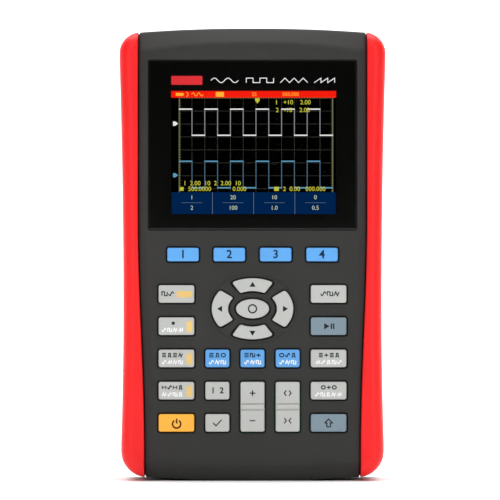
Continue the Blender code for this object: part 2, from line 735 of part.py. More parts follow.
# ================================================================ front case
def recess_walls(name, sections):
    """The two side walls of the input recess; sections gives (y, how far below the upper end they stop)."""
    middle = (RECESS_WIDTH + RECESS_WALL) / 2
    low = PANEL_LOW_Z - WALL_BELOW_PANEL
    walls = []
    for side in (-1, 1):
        rings = []
        for y, drop in sections:
            high = HEIGHT - end_rise(middle) - drop
            rings.append((y, rectangle(side * middle, (low + high) / 2, RECESS_WALL, high - low)))
        walls.append(loft("wall", rings))
    return gathered(name, walls)


def hood_wall(name):
    """The wall across the front of the recess, its upper edge in the hood's skin."""
    half = RECESS_WIDTH / 2 + RECESS_WALL
    low = PANEL_LOW_Z - WALL_BELOW_PANEL
    across = [half, 0.6 * half, 0.2 * half]
    right = [(half, low, 0), *[(x, HEIGHT - end_rise(x) - SKIN_OVERLAP, 0) for x in across]]
    left = [(-x, z, 0) for x, z, _ in reversed(right)]
    outline = rounded(right + left)
    return loft(name, [(HOOD_BACK_Y - RECESS_WALL, outline), (HOOD_BACK_Y, outline)])


def recess_space(name, front):
    """The open recess behind the hood, cut out of both halves of the case."""
    half = RECESS_WIDTH / 2
    return box(name, (-half, half), (front, BACK_Y + 5 * MM), (RECESS_FLOOR_Z, HEIGHT + 5 * MM))


def panel_groove(name, front, back):
    """The groove that the connector panel's edges sit in."""
    half = RECESS_WIDTH / 2 + PANEL_GROOVE
    return box(name, (-half, half), (front, back), (PANEL_LOW_Z - SEAT_GAP, PANEL_HIGH_Z + SEAT_GAP))


def core_outline(extra=0.0):
    """The case under the grips."""
    return body_outline(GRIP_WALL + SEAT_GAP - extra)


def make_front_case():
    case = loft("front_case", [(LEDGE_Y, core_outline()), (PARTING_Y, core_outline())], PARTS)
    raised_face = loft(
        "raised_face",
        [
            (FACE_Y, face_outline(SIDE_BEVEL, 1.0)),
            (FACE_Y + SIDE_BEVEL_DROP, face_outline(0, 1 - SIDE_BEVEL_DROP / END_SLOPE_DROP)),
            (FACE_Y + END_SLOPE_DROP, face_outline(0)),
            (PARTING_Y, face_outline(0)),
        ],
    )
    nav_mound = loft(
        "nav_mound",
        [
            (FACE_Y - MOUND_RISE, ellipse(0, NAV_Z, MOUND_AXES, -MOUND_EDGE, 32)),
            (FACE_Y, ellipse(0, NAV_Z, MOUND_AXES, 0, 32)),
            (FACE_Y + 1 * MM, ellipse(0, NAV_Z, MOUND_AXES, 0, 32)),
        ],
    )
    join(case, raised_face, nav_mound)

    hollow = body_outline(GRIP_WALL + SEAT_GAP + CASE_WALL)
    wide_cavity = loft("wide_cavity", [(LEDGE_Y + CASE_WALL, hollow), (PARTING_Y + 5 * MM, hollow)])
    face_cavity = loft(
        "face_cavity",
        [
            (FACE_INNER_Y, face_outline(SIDE_BEVEL, 1.0, CASE_WALL * 0.6)),
            (FACE_Y + END_SLOPE_DROP + CASE_WALL, face_outline(CASE_WALL, 0.0, CASE_WALL)),
            (PARTING_Y + 5 * MM, face_outline(CASE_WALL, 0.0, CASE_WALL)),
        ],
    )
    cut(case, wide_cavity, face_cavity)

    # Stiffening frame behind the window, and the hood's back wall, which closes the front of the recess.
    frame = rectangle(
        0, WINDOW_LOW + WINDOW_HEIGHT / 2, WINDOW_WIDTH + 3 * MM, WINDOW_HEIGHT + 3 * MM, 1.5 * MM
    )
    window_frame = prism("window_frame", frame, FACE_INNER_Y - 0.5 * MM, LEDGE_BACK_Y)
    side_walls = recess_walls(
        "front_walls", [(HOOD_BACK_Y - 0.5 * MM, SKIN_OVERLAP), (PARTING_Y, SKIN_OVERLAP)]
    )
    bosses = gathered(
        "front_bosses",
        [
            cylinder("boss", "Y", spot, BOSS_RADIUS, (FACE_INNER_Y - 0.5 * MM, PARTING_Y - SEAT_GAP))
            for spot in BOSSES
        ],
    )
    join(case, window_frame, hood_wall("hood_wall"), side_walls, bosses)

    lens = rectangle(
        0, WINDOW_LOW + WINDOW_HEIGHT / 2, WINDOW_WIDTH + 2 * SEAT_GAP, WINDOW_HEIGHT + 2 * SEAT_GAP,
        WINDOW_CORNER,
    )
    lens_seat = prism("lens_seat", lens, FACE_Y - 2 * MM, WINDOW_BACK_Y + SEAT_GAP)
    view = rectangle(
        0, PICTURE_Z, PICTURE_WIDTH + 2 * PICTURE_MARGIN, PICTURE_HEIGHT + 2 * PICTURE_MARGIN, 0.5 * MM
    )
    view_opening = prism("view_opening", view, FACE_Y - 2 * MM, LEDGE_BACK_Y + 2 * MM)
    pilot_holes = gathered(
        "pilot_holes",
        [
            cylinder("pilot", "Y", spot, SCREW_RADIUS + THREAD_GAP, (SCREW_TIP_Y - 1 * MM, PARTING_Y + 5 * MM))
            for spot in BOSSES
        ],
    )
    cut(
        case,
        lens_seat,
        view_opening,
        key_holes("key_slots", SLOT_GAP, FACE_Y - 3 * MM, FACE_INNER_Y + 2 * MM),
        pilot_holes,
        recess_space("front_recess", HOOD_BACK_Y),
        panel_groove("front_groove", HOOD_BACK_Y - PANEL_GROOVE, BACK_Y),
    )
    return finish(case, DARK_CASE)


make_front_case()


# ================================================================ grips
def make_grips():
    """Each grip is the silhouette's edge, less the case that it wraps."""
    for side, name in ((-1, "left_grip"), (1, "right_grip")):
        rings = []
        for step in range(4):
            turn = math.radians(30 * step)
            inset = GRIP_EDGE_WIDTH * (1 - math.sin(turn))
            rings.append((FRONT_Y + GRIP_EDGE_DEPTH * (1 - math.cos(turn)), body_outline(inset)))
        rings.append((GRIP_BACK_Y - GRIP_TAIL, body_outline(0)))
        rings.append((GRIP_BACK_Y, body_outline(BACK_SIDE_INSETS[0])))
        grip = loft(name, rings, PARTS)
        gap = face_outline(-SEAT_GAP, 0.0, -3 * MM)
        between = loft("between_grips", [(FRONT_Y - 2 * MM, gap), (BACK_Y, gap)])
        core = core_outline(SEAT_GAP)
        inside = loft("inside_grip", [(LEDGE_Y - SEAT_GAP, core), (BACK_Y, core)])
        far = side * WIDTH
        other_half = box("other_half", sorted((0, -far)), (-DEPTH, DEPTH), (-HEIGHT, 2 * HEIGHT))
        cut(grip, between, inside, other_half)
        finish(grip, RED_GRIP)


make_grips()


# ================================================================ display
def make_display():
    lens = rectangle(0, WINDOW_LOW + WINDOW_HEIGHT / 2, WINDOW_WIDTH, WINDOW_HEIGHT, WINDOW_CORNER)
    finish(prism("display_window", lens, WINDOW_FRONT_Y, WINDOW_BACK_Y, PARTS), BLACK_GLASS)
    width, height = MODULE_SIZE
    panel = box(
        "display_panel", (-width / 2, width / 2), (MODULE_FRONT_Y, MODULE_BACK_Y),
        (PICTURE_Z - height / 2, PICTURE_Z + height / 2), PARTS,
    )
    finish(panel, DISPLAY)
    outer_x = width / 2 + SEAT_GAP + HOLDER_WALL
    outer_z = height / 2 + SEAT_GAP + HOLDER_WALL
    holder = box(
        "display_holder", (-outer_x, outer_x), (MODULE_FRONT_Y, HOLDER_BACK_Y),
        (PICTURE_Z - outer_z, PICTURE_Z + outer_z), PARTS,
    )
    pocket = box(
        "holder_pocket", (-width / 2 - SEAT_GAP, width / 2 + SEAT_GAP),
        (MODULE_FRONT_Y - 5 * MM, MODULE_BACK_Y + SEAT_GAP),
        (PICTURE_Z - height / 2 - SEAT_GAP, PICTURE_Z + height / 2 + SEAT_GAP),
    )
    cut(holder, pocket)
    finish(holder, WHITE_PLASTIC)


make_display()


# ================================================================ key mat and boards
def make_key_mat():
    middle = (KEY_MAT_LOW + KEY_MAT_HIGH) / 2
    sheet = rectangle(0, middle, 2 * KEY_MAT_HALF, KEY_MAT_HIGH - KEY_MAT_LOW, 2 * MM)
    mat = prism("keypad_mat", sheet, FLANGE_FRONT_Y, MAT_BACK_Y, PARTS)
    cut(mat, key_holes("mat_slots", FLANGE_WIDTH + SEAT_GAP, FACE_Y, KEY_BOARD_Y + 2 * MM))
    return finish(mat, MAT_RUBBER)


def make_boards():
    half = KEY_BOARD_WIDTH / 2
    low, high = KEY_MAT_LOW + 0.5 * MM, KEY_MAT_HIGH
    key_board = prism(
        "key_board", rectangle(0, (low + high) / 2, 2 * half, high - low, 1.5 * MM),
        KEY_BOARD_Y, KEY_BOARD_Y + BOARD_THICK, PARTS,
    )
    finish(key_board, CIRCUIT_BOARD)

    top = PANEL_LOW_Z - THREAD_LENGTH + PANEL_THICK - 1 * MM
    half = MAIN_BOARD_WIDTH / 2
    main_board = prism(
        "main_board", rectangle(0, (MAIN_BOARD_LOW + top) / 2, 2 * half, top - MAIN_BOARD_LOW, 1.5 * MM),
        MAIN_BOARD_Y, MAIN_BOARD_BACK_Y, PARTS,
    )
    sunk = 0.5 * MM  # how far a component's block is let into the board to be one solid with it
    front_parts = [
        box("key_header", (-20 * MM, 20 * MM), (KEY_BOARD_Y + BOARD_THICK + SEAT_GAP, MAIN_BOARD_Y + sunk),
            (24 * MM, 29 * MM)),
        box("logic_chip", (-12 * MM, 12 * MM), (MAIN_BOARD_Y - 1.8 * MM, MAIN_BOARD_Y + sunk),
            (80 * MM, 104 * MM)),
        box("memory_chip", (18 * MM, 30 * MM), (MAIN_BOARD_Y - 1.2 * MM, MAIN_BOARD_Y + sunk),
            (84 * MM, 104 * MM)),
        box("inductor", (-34 * MM, -22 * MM), (MAIN_BOARD_Y - 6 * MM, MAIN_BOARD_Y + sunk),
            (60 * MM, 72 * MM)),
    ]
    power_header = box(
        "power_header", (-15 * MM, 15 * MM), (MAIN_BOARD_BACK_Y - sunk, POWER_BOARD_Y - SEAT_GAP),
        (128 * MM, 133 * MM),
    )
    join(main_board, gathered("board_parts", [*front_parts, power_header]))
    finish(main_board, CIRCUIT_BOARD)

    low, high = POWER_BOARD_Z
    power_board = box(
        "power_board", (-POWER_BOARD_LEFT, POWER_BOARD_RIGHT), (POWER_BOARD_Y, POWER_BOARD_BACK_Y),
        (low, high), PARTS,
    )
    finish(power_board, CIRCUIT_BOARD)

    can_z = (top - 30 * MM, top - 3 * MM)
    can_x = (-35 * MM, 35 * MM)
    can = box("shield_can", can_x, (MAIN_BOARD_Y - SEAT_GAP - 6 * MM, MAIN_BOARD_Y - SEAT_GAP), can_z, PARTS)
    wall = 0.8 * MM
    hollow = box(
        "can_hollow", (can_x[0] + wall, can_x[1] - wall),
        (MAIN_BOARD_Y - SEAT_GAP - 6 * MM + wall, MAIN_BOARD_Y + 1 * MM), (can_z[0] + wall, can_z[1] - wall),
    )
    finish(cut(can, hollow), TIN)

    buzzer = cylinder(
        "buzzer", "Y", (28 * MM, 122 * MM), 6 * MM,
        (MAIN_BOARD_Y - SEAT_GAP - 5 * MM, MAIN_BOARD_Y - SEAT_GAP), PARTS, 20,
    )
    finish(buzzer, BLACK_PLASTIC)


make_key_mat()
make_boards()


# ================================================================ rear case
def make_rear_case():
    front = PARTING_Y + SEAT_GAP
    step_y = BACK_STEPS_Y[0]
    case = loft("rear_case", [(front, core_outline()), (step_y + 1 * MM, core_outline())], PARTS)
    middle = loft("rear_middle", [(front, face_outline(0)), (step_y + 1 * MM, face_outline(0))])
    shell = loft(
        "rear_shell",
        [
            (y, body_outline(side, end, 0.4 * side))
            for y, side, end in zip(BACK_STEPS_Y, BACK_SIDE_INSETS, BACK_END_INSETS)
        ],
    )
    join(case, middle, shell)

    wide = GRIP_WALL + SEAT_GAP + CASE_WALL
    cavity = loft(
        "rear_cavity",
        [
            (front - 5 * MM, body_outline(wide, CASE_WALL, wide)),
            (BACK_Y - 5.5 * MM, body_outline(wide, CASE_WALL + 1.2 * MM, wide)),
            (BACK_INNER_Y, body_outline(wide + 4.4 * MM, CASE_WALL + 6 * MM, wide)),
        ],
    )
    cut(case, cavity)

    # The stand's well, the battery bay's walls, bosses and posts grow from the back wall.
    well_half = STAND_WIDTH / 2 + SLOT_GAP
    well_low, well_high = STAND_LOW_Z - SLOT_GAP, HINGE_Z + HINGE_RADIUS + SLOT_GAP
    pan_margin = CASE_WALL + HINGE_PIN_REACH
    pan = box(
        "well_pan", (-well_half - pan_margin, well_half + pan_margin), (DOOR_FRONT_Y, BACK_INNER_Y + 1 * MM),
        (well_low - NOTCH_DROP - CASE_WALL, well_high + CASE_WALL),
    )
    bay_half = DOOR_WIDTH / 2 + SEAT_GAP - DOOR_RIM + BAY_WALL
    bay = box(
        "bay_walls", (-bay_half, bay_half), (BAY_OUTER_Y, DOOR_FRONT_Y + 1 * MM),
        (DOOR_LOW_Z - SEAT_GAP + DOOR_RIM - BAY_WALL, DOOR_HIGH_Z + SEAT_GAP - DOOR_RIM + BAY_WALL),
    )
    ear_boss = cylinder(
        "ear_boss", "Y", (0, EAR_SCREW_Z), 3.4 * MM, (DOOR_FRONT_Y - DOOR_SCREW_LENGTH, DOOR_FRONT_Y + 1 * MM)
    )
    bosses = gathered(
        "rear_bosses",
        [cylinder("boss", "Y", spot, REAR_BOSS_RADIUS, (front, BACK_INNER_Y + 1 * MM)) for spot in BOSSES],
    )
    posts = gathered(
        "board_posts",
        [
            cylinder("post", "Y", (x, z), POST_RADIUS, (y, BACK_INNER_Y + 1 * MM), segments=12)
            for x, z, y in (
                (-36 * MM, 24 * MM, MAIN_BOARD_BACK_Y + SEAT_GAP),
                (36 * MM, 24 * MM, MAIN_BOARD_BACK_Y + SEAT_GAP),
                (-42 * MM, 130 * MM, POWER_BOARD_BACK_Y + SEAT_GAP),
                (-42 * MM, 158 * MM, POWER_BOARD_BACK_Y + SEAT_GAP),
                (28 * MM, 158 * MM, POWER_BOARD_BACK_Y + SEAT_GAP),
            )
        ],
    )
    side_walls = recess_walls(
        "rear_walls",
        [(front, SKIN_OVERLAP), (BACK_Y - 5.5 * MM, SKIN_OVERLAP), (BACK_INNER_Y + 1 * MM, 6 * MM)],
    )
    join(case, pan, bay, ear_boss, bosses, side_walls, posts)

    well = box("stand_well", (-well_half, well_half), (WELL_FLOOR_Y, BACK_Y + 5 * MM), (well_low, well_high))
    notch = box(
        "finger_notch", (-NOTCH_WIDTH / 2, NOTCH_WIDTH / 2), (BACK_Y - NOTCH_DEPTH, BACK_Y + 5 * MM),
        (well_low - NOTCH_DROP, well_low + 1 * MM),
    )
    hinge_bore = cylinder(
        "hinge_bore", "X", (HINGE_Y, HINGE_Z), HINGE_PIN_RADIUS + SEAT_GAP,
        (-well_half - HINGE_PIN_REACH - SEAT_GAP, well_half + HINGE_PIN_REACH + SEAT_GAP),
    )
    door_seat = door_plate("door_seat", SEAT_GAP, DOOR_FRONT_Y - SEAT_GAP, BACK_Y)
    ear_seat = door_ear("ear_seat", SEAT_GAP, DOOR_FRONT_Y - SEAT_GAP, BACK_Y)
    bay_space_half = DOOR_WIDTH / 2 + SEAT_GAP - DOOR_RIM
    bay_space = box(
        "bay_space", (-bay_space_half, bay_space_half), (BAY_INNER_Y, BACK_Y),
        (DOOR_LOW_Z - SEAT_GAP + DOOR_RIM, DOOR_HIGH_Z + SEAT_GAP - DOOR_RIM),
    )
    ear_bore = cylinder(
        "ear_bore", "Y", (0, EAR_SCREW_Z), DOOR_SCREW_RADIUS + THREAD_GAP,
        (DOOR_FRONT_Y - DOOR_SCREW_LENGTH - 5 * MM, BACK_Y),
    )
    shank_bores = [
        cylinder("shank_bore", "Y", spot, SCREW_RADIUS + SEAT_GAP, (front - 5 * MM, BACK_Y + 5 * MM))
        for spot in BOSSES
    ]
    head_bores = [
        cylinder("head_bore", "Y", spot, SCREW_HEAD_RADIUS + HEAD_GAP, (HEAD_FLOOR_Y, BACK_Y + 5 * MM))
        for spot in BOSSES
    ]
    cover_seat = box(
        "cover_seat", (COVER_OUTER_X - COVER_THICK - SEAT_GAP, WIDTH),
        (COVER_Y[0] - SLOT_GAP, COVER_Y[1] + SLOT_GAP),
        (COVER_Z[0] - COVER_PULL, COVER_Z[1] + SLOT_GAP),
    )
    dc_hole = cylinder(
        "dc_hole", "X", (PORT_Y, DC_Z), DC_SNOUT_RADIUS + SEAT_GAP, (PORT_BODY_X - 3 * MM, WIDTH), segments=20
    )
    usb_hole = box(
        "usb_hole", (PORT_BODY_X - 3 * MM, WIDTH),
        (PORT_Y - USB_SNOUT[1] / 2 - SEAT_GAP, PORT_Y + USB_SNOUT[1] / 2 + SEAT_GAP),
        (USB_Z - USB_SNOUT[0] / 2 - SEAT_GAP, USB_Z + USB_SNOUT[0] / 2 + SEAT_GAP),
    )
    cut(case, well, notch, hinge_bore, door_seat, ear_seat, bay_space, ear_bore)
    cut(case, gathered("shank_bores", shank_bores), gathered("head_bores", head_bores))
    cut(case, cover_seat, dc_hole, usb_hole, recess_space("rear_recess", HOOD_BACK_Y))
    cut(case, panel_groove("rear_groove", HOOD_BACK_Y, BACK_INNER_Y + PANEL_GROOVE))
    return finish(case, DARK_CASE)


def door_plate(name, grow, front, back, collection=None):
    """The battery door's rounded plate."""
    size = (DOOR_WIDTH + 2 * grow, DOOR_HIGH_Z - DOOR_LOW_Z + 2 * grow)
    return prism(name, rectangle(0, DOOR_MIDDLE_Z, *size, DOOR_CORNER, 2), front, back, collection)


def door_ear(name, grow, front, back):
    """The round ear on its upper edge that takes the screw."""
    return cylinder(name, "Y", (0, EAR_SCREW_Z), EAR_RADIUS + grow, (front, back), segments=24)


make_rear_case()


# ================================================================ tilt stand
def make_tilt_stand():
    """A flat frame with a round barrel along its upper edge and a pin at each end of the barrel."""
    high = HINGE_Z
    middle = (STAND_LOW_Z + high) / 2
    front, back = HINGE_Y - STAND_THICK / 2, HINGE_Y + STAND_THICK / 2
    outer = rounded(
        [
            (-STAND_WIDTH / 2, STAND_LOW_Z, STAND_CORNER),
            (STAND_WIDTH / 2, STAND_LOW_Z, STAND_CORNER),
            (STAND_WIDTH / 2, high, 0),
            (-STAND_WIDTH / 2, high, 0),
        ],
        4,
    )
    inner = rectangle(
        0, middle - 1 * MM, STAND_WIDTH - 2 * STAND_BAR, high - STAND_LOW_Z - 2 * STAND_BAR, 4 * MM, 4
    )
    stand = prism("tilt_stand", [outer, inner], front, back, PARTS)
    half = STAND_WIDTH / 2
    barrel = cylinder("stand_barrel", "X", (HINGE_Y, HINGE_Z), HINGE_RADIUS, (-half, half))
    reach = half + HINGE_PIN_REACH
    pins = cylinder("stand_pins", "X", (HINGE_Y, HINGE_Z), HINGE_PIN_RADIUS, (-reach, reach))
    join(stand, barrel, pins)
    return hang(finish(stand, DARK_CASE), (0, HINGE_Y, HINGE_Z))


make_tilt_stand()


# ================================================================ battery
def make_battery():
    door = door_plate("battery_door", 0, DOOR_FRONT_Y, DOOR_BACK_Y, PARTS)
    join(door, door_ear("door_ear", 0, DOOR_FRONT_Y, DOOR_BACK_Y))
    head_radius, head_thick = DOOR_SCREW_HEAD
    cut(
        door,
        cylinder("door_hole", "Y", (0, EAR_SCREW_Z), DOOR_SCREW_RADIUS + SEAT_GAP, (0, DEPTH)),
        cylinder("door_sink", "Y", (0, EAR_SCREW_Z), head_radius + SEAT_GAP,
                 (DOOR_BACK_Y - head_thick - SEAT_GAP, DEPTH)),
    )
    finish(door, DARK_CASE)
    half = DOOR_WIDTH / 2 - DOOR_RIM
    pack = box(
        "battery_pack", (-half, half), (BATTERY_FRONT_Y, BATTERY_BACK_Y),
        (DOOR_LOW_Z + DOOR_RIM, DOOR_HIGH_Z - DOOR_RIM), PARTS, 2 * MM,
    )
    finish(pack, CELL_WRAP)
    # The screw's axis runs along -Y from its head, so its local Z points out of the back.
    turn = Matrix.Translation((0, DOOR_BACK_Y, EAR_SCREW_Z)) @ Matrix.Rotation(-math.pi / 2, 4, "X")
    screw = turned(
        "battery_door_screw",
        [
            (0, 0), (head_radius, 0), (head_radius, -head_thick), (DOOR_SCREW_RADIUS, -head_thick),
            (DOOR_SCREW_RADIUS, -DOOR_SCREW_LENGTH), (0, -DOOR_SCREW_LENGTH),
        ],
        turn, PARTS, 16,
    )
    finish(screw, STEEL)


def make_case_screws():
    for number, (x, z) in enumerate(BOSSES):
        turn = Matrix.Translation((x, BACK_Y - SCREW_SINK, z)) @ Matrix.Rotation(-math.pi / 2, 4, "X")
        length = BACK_Y - SCREW_SINK - SCREW_TIP_Y
        screw = turned(
            f"case_screw_{number + 1}",
            [
                (0, 0), (SCREW_HEAD_RADIUS * 0.8, 0), (SCREW_HEAD_RADIUS, -0.6 * MM),
                (SCREW_HEAD_RADIUS, -SCREW_HEAD_THICK), (SCREW_RADIUS, -SCREW_HEAD_THICK),
                (SCREW_RADIUS, -length), (0, -length),
            ],
            turn, PARTS, 16,
        )
        finish(screw, STEEL)


make_battery()
make_case_screws()


# ================================================================ input sockets
def make_connector_panel():
    half = RECESS_WIDTH / 2 + PANEL_GROOVE - SEAT_GAP
    panel = box(
        "connector_panel", (-half, half),
        (HOOD_BACK_Y - PANEL_GROOVE + SEAT_GAP, BACK_INNER_Y + PANEL_GROOVE - SEAT_GAP),
        (PANEL_LOW_Z, PANEL_HIGH_Z), PARTS,
    )
    holes = gathered(
        "panel_holes",
        [
            cylinder("panel_hole", "Z", (side * SOCKET_X, SOCKET_Y), THREAD_RADIUS + SEAT_GAP,
                     (PANEL_LOW_Z - 5 * MM, HEIGHT), segments=24)
            for side in (-1, 1)
        ],
    )
    return finish(cut(panel, holes), BLACK_PLASTIC)


def make_socket(number, x):
    """One coaxial input: shell, insulator, centre contact, and the nut that clamps it under the panel."""
    seat = PANEL_HIGH_Z + SEAT_GAP
    at = Matrix.Translation((x, SOCKET_Y, seat))
    shell = turned(
        f"input_{number}_shell",
        [
            (BARREL_RADIUS - 0.4 * MM, BARREL_HEIGHT), (BARREL_RADIUS, BARREL_HEIGHT - 0.4 * MM),
            (BARREL_RADIUS, SHOULDER_THICK), (SHOULDER_RADIUS - 0.4 * MM, SHOULDER_THICK),
            (SHOULDER_RADIUS, SHOULDER_THICK - 0.4 * MM), (SHOULDER_RADIUS, 0),
            (THREAD_RADIUS, 0), (THREAD_RADIUS, -THREAD_LENGTH), (BARREL_BORE, -THREAD_LENGTH),
            (BARREL_BORE, BARREL_HEIGHT),
        ],
        at, PARTS, 24,
    )
    lug_z = seat + BARREL_HEIGHT - LUG_DROP
    lugs = [
        cylinder(
            "lug", "X", (SOCKET_Y, lug_z), LUG_RADIUS,
            sorted((x + side * (BARREL_RADIUS - 0.4 * MM), x + side * (BARREL_RADIUS + LUG_REACH))),
            segments=12,
        )
        for side in (-1, 1)
    ]
    join(shell, gathered("lugs", lugs))
    finish(shell, NICKEL)

    floor = SHOULDER_THICK - 0.5 * MM
    nose = BARREL_HEIGHT - 2 * MM
    bore = CONTACT_RADIUS + SEAT_GAP
    insulator = turned(
        f"input_{number}_insulator",
        [
            (NOSE_RADIUS, nose), (NOSE_RADIUS, floor), (CORE_RADIUS, floor), (CORE_RADIUS, -THREAD_LENGTH),
            (bore, -THREAD_LENGTH), (bore, nose),
        ],
        at, PARTS, 20,
    )
    finish(insulator, DIELECTRIC)
    contact = cylinder(
        f"input_{number}_contact", "Z", (x, SOCKET_Y), CONTACT_RADIUS,
        (seat - THREAD_LENGTH - CONTACT_TAIL, seat + nose - 0.8 * MM), PARTS, 10,
    )
    finish(contact, GOLD)
    nut = cylinder(
        f"input_{number}_nut", "Z", (x, SOCKET_Y), NUT_RADIUS,
        (PANEL_LOW_Z - SEAT_GAP - NUT_THICK, PANEL_LOW_Z - SEAT_GAP), PARTS, 6,
    )
    nut_bore = cylinder(
        "nut_bore", "Z", (x, SOCKET_Y), THREAD_RADIUS + THREAD_GAP, (0, HEIGHT), segments=24
    )
    finish(cut(nut, nut_bore), NICKEL)


make_connector_panel()
for channel, socket_x in ((1, -SOCKET_X), (2, SOCKET_X)):
    make_socket(channel, socket_x)


# ================================================================ side sockets and their cover
def make_side_sockets():
    snout_x = COVER_OUTER_X - COVER_THICK - 2 * SEAT_GAP
    base_y = POWER_BOARD_BACK_Y + SEAT_GAP
    jack = box(
        "dc_jack", (PORT_BODY_X - 11 * MM, PORT_BODY_X), (base_y, PORT_Y + 4.6 * MM),
        (DC_Z - 4.5 * MM, DC_Z + 4.5 * MM), PARTS,
    )
    join(jack, cylinder("dc_snout", "X", (PORT_Y, DC_Z), DC_SNOUT_RADIUS, (PORT_BODY_X - 1 * MM, snout_x),
                        segments=20))
    cut(jack, cylinder("dc_bore", "X", (PORT_Y, DC_Z), DC_BORE_RADIUS, (PORT_BODY_X - 5.5 * MM, WIDTH),
                       segments=20))
    join(jack, cylinder("dc_pin", "X", (PORT_Y, DC_Z), 1.0 * MM, (PORT_BODY_X - 6.5 * MM, snout_x - 1 * MM),
                        segments=10))
    finish(jack, BLACK_PLASTIC)

    half_z, half_y = USB_SNOUT[0] / 2, USB_SNOUT[1] / 2
    usb = box(
        "usb_socket", (PORT_BODY_X - 8 * MM, snout_x), (PORT_Y - half_y, PORT_Y + half_y),
        (USB_Z - half_z, USB_Z + half_z), PARTS,
    )
    legs = box(
        "usb_legs", (PORT_BODY_X - 7 * MM, PORT_BODY_X - 1 * MM), (base_y, PORT_Y),
        (USB_Z - half_z + 0.5 * MM, USB_Z + half_z - 0.5 * MM),
    )
    join(usb, legs)
    slot = box(
        "usb_slot", (PORT_BODY_X - 5 * MM, WIDTH), (PORT_Y - USB_SLOT[1] / 2, PORT_Y + USB_SLOT[1] / 2),
        (USB_Z - USB_SLOT[0] / 2, USB_Z + USB_SLOT[0] / 2),
    )
    tongue = box(
        "usb_tongue", (PORT_BODY_X - 6 * MM, snout_x - 1 * MM), (PORT_Y - 0.4 * MM, PORT_Y + 0.4 * MM),
        (USB_Z - USB_SLOT[0] / 2 + 1.2 * MM, USB_Z + USB_SLOT[0] / 2 - 1.2 * MM),
    )
    cut(usb, slot)
    join(usb, tongue)
    finish(usb, TIN)


def make_port_cover():
    """A rubber strap cover. Its upper end is round about the line that it bends on."""
    radius = COVER_THICK / 2
    pivot_x = COVER_OUTER_X - radius
    pivot_z = COVER_Z[1] - radius
    profile = [
        (pivot_x - radius, pivot_z),
        (pivot_x - radius, COVER_Z[0]),
        (pivot_x + radius - 0.5 * MM, COVER_Z[0]),
        (pivot_x + radius, COVER_Z[0] + 0.5 * MM),
        (pivot_x + radius, pivot_z),
    ]
    for step in range(1, 6):
        turn = math.pi * step / 6
        profile.append((pivot_x + radius * math.cos(turn), pivot_z + radius * math.sin(turn)))
    cover = prism("port_cover", [Vector(point) for point in profile], *COVER_Y, PARTS)
    return hang(finish(cover, BLACK_RUBBER), (pivot_x, sum(COVER_Y) / 2, pivot_z))


make_side_sockets()
make_port_cover()
bpy.context.view_layer.update()
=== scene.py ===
"""Looks of the handheld two-channel oscilloscope: a dark moulded case between red grips, its rubber keys,
lit display, coaxial inputs, tilt stand and side sockets, on a pale studio floor.

Sizes are in millimetres until a mesh is made; MM turns them into metres. x is to the right of someone who
faces the display, y goes into the instrument, z is up.
"""

import math

import bmesh
import bpy
import numpy as np
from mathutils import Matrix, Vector


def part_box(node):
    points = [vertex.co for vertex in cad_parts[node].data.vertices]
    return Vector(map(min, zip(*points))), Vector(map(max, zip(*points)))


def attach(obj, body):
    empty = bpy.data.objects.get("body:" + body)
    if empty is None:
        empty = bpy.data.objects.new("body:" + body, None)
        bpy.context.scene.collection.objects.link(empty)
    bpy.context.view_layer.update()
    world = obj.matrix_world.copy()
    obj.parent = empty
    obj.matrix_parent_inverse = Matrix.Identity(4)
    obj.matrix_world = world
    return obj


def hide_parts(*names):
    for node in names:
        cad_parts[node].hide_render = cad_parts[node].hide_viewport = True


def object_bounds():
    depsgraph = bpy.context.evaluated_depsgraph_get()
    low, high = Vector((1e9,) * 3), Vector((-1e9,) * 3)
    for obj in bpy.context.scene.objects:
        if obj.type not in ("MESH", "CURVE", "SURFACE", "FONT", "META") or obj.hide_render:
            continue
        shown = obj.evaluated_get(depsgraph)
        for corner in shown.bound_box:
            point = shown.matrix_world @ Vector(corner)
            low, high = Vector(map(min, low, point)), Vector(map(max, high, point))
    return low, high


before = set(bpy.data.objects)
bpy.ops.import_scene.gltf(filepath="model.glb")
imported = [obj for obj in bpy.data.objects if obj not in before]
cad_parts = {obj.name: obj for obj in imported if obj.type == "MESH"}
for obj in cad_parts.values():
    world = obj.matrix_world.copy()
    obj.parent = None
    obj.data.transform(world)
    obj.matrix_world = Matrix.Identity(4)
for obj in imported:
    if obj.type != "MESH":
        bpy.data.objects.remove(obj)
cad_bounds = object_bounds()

MM = 0.001
ROOT = "body"
WELD_REACH = 1e-7  # metres


def span(node):
    """A CAD node's lowest and highest corner, in millimetres."""
    return tuple(np.array(corner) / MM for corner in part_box(node))


# ---------------------------------------------------------------- sizes taken from the frame
HEIGHT = (cad_bounds[1][2] - cad_bounds[0][2]) / MM
WIDTH = (cad_bounds[1][0] - cad_bounds[0][0]) / MM
FRONT_Y = cad_bounds[0][1] / MM
BACK_Y = cad_bounds[1][1] / MM
WINDOW_LO, WINDOW_HI = span("display_window")
PANEL_LO, PANEL_HI = span("display_panel")
FLOOR_LO, FLOOR_HI = span("connector_panel")
STAND_LO, STAND_HI = span("tilt_stand")
DOOR_LO, DOOR_HI = span("battery_door")
COVER_LO, COVER_HI = span("port_cover")
GRIP_BACK_Y = span("right_grip")[1][1]
REAR_FRONT_Y = span("rear_case")[0][1]
PARTING_Y = span("front_case")[1][1]

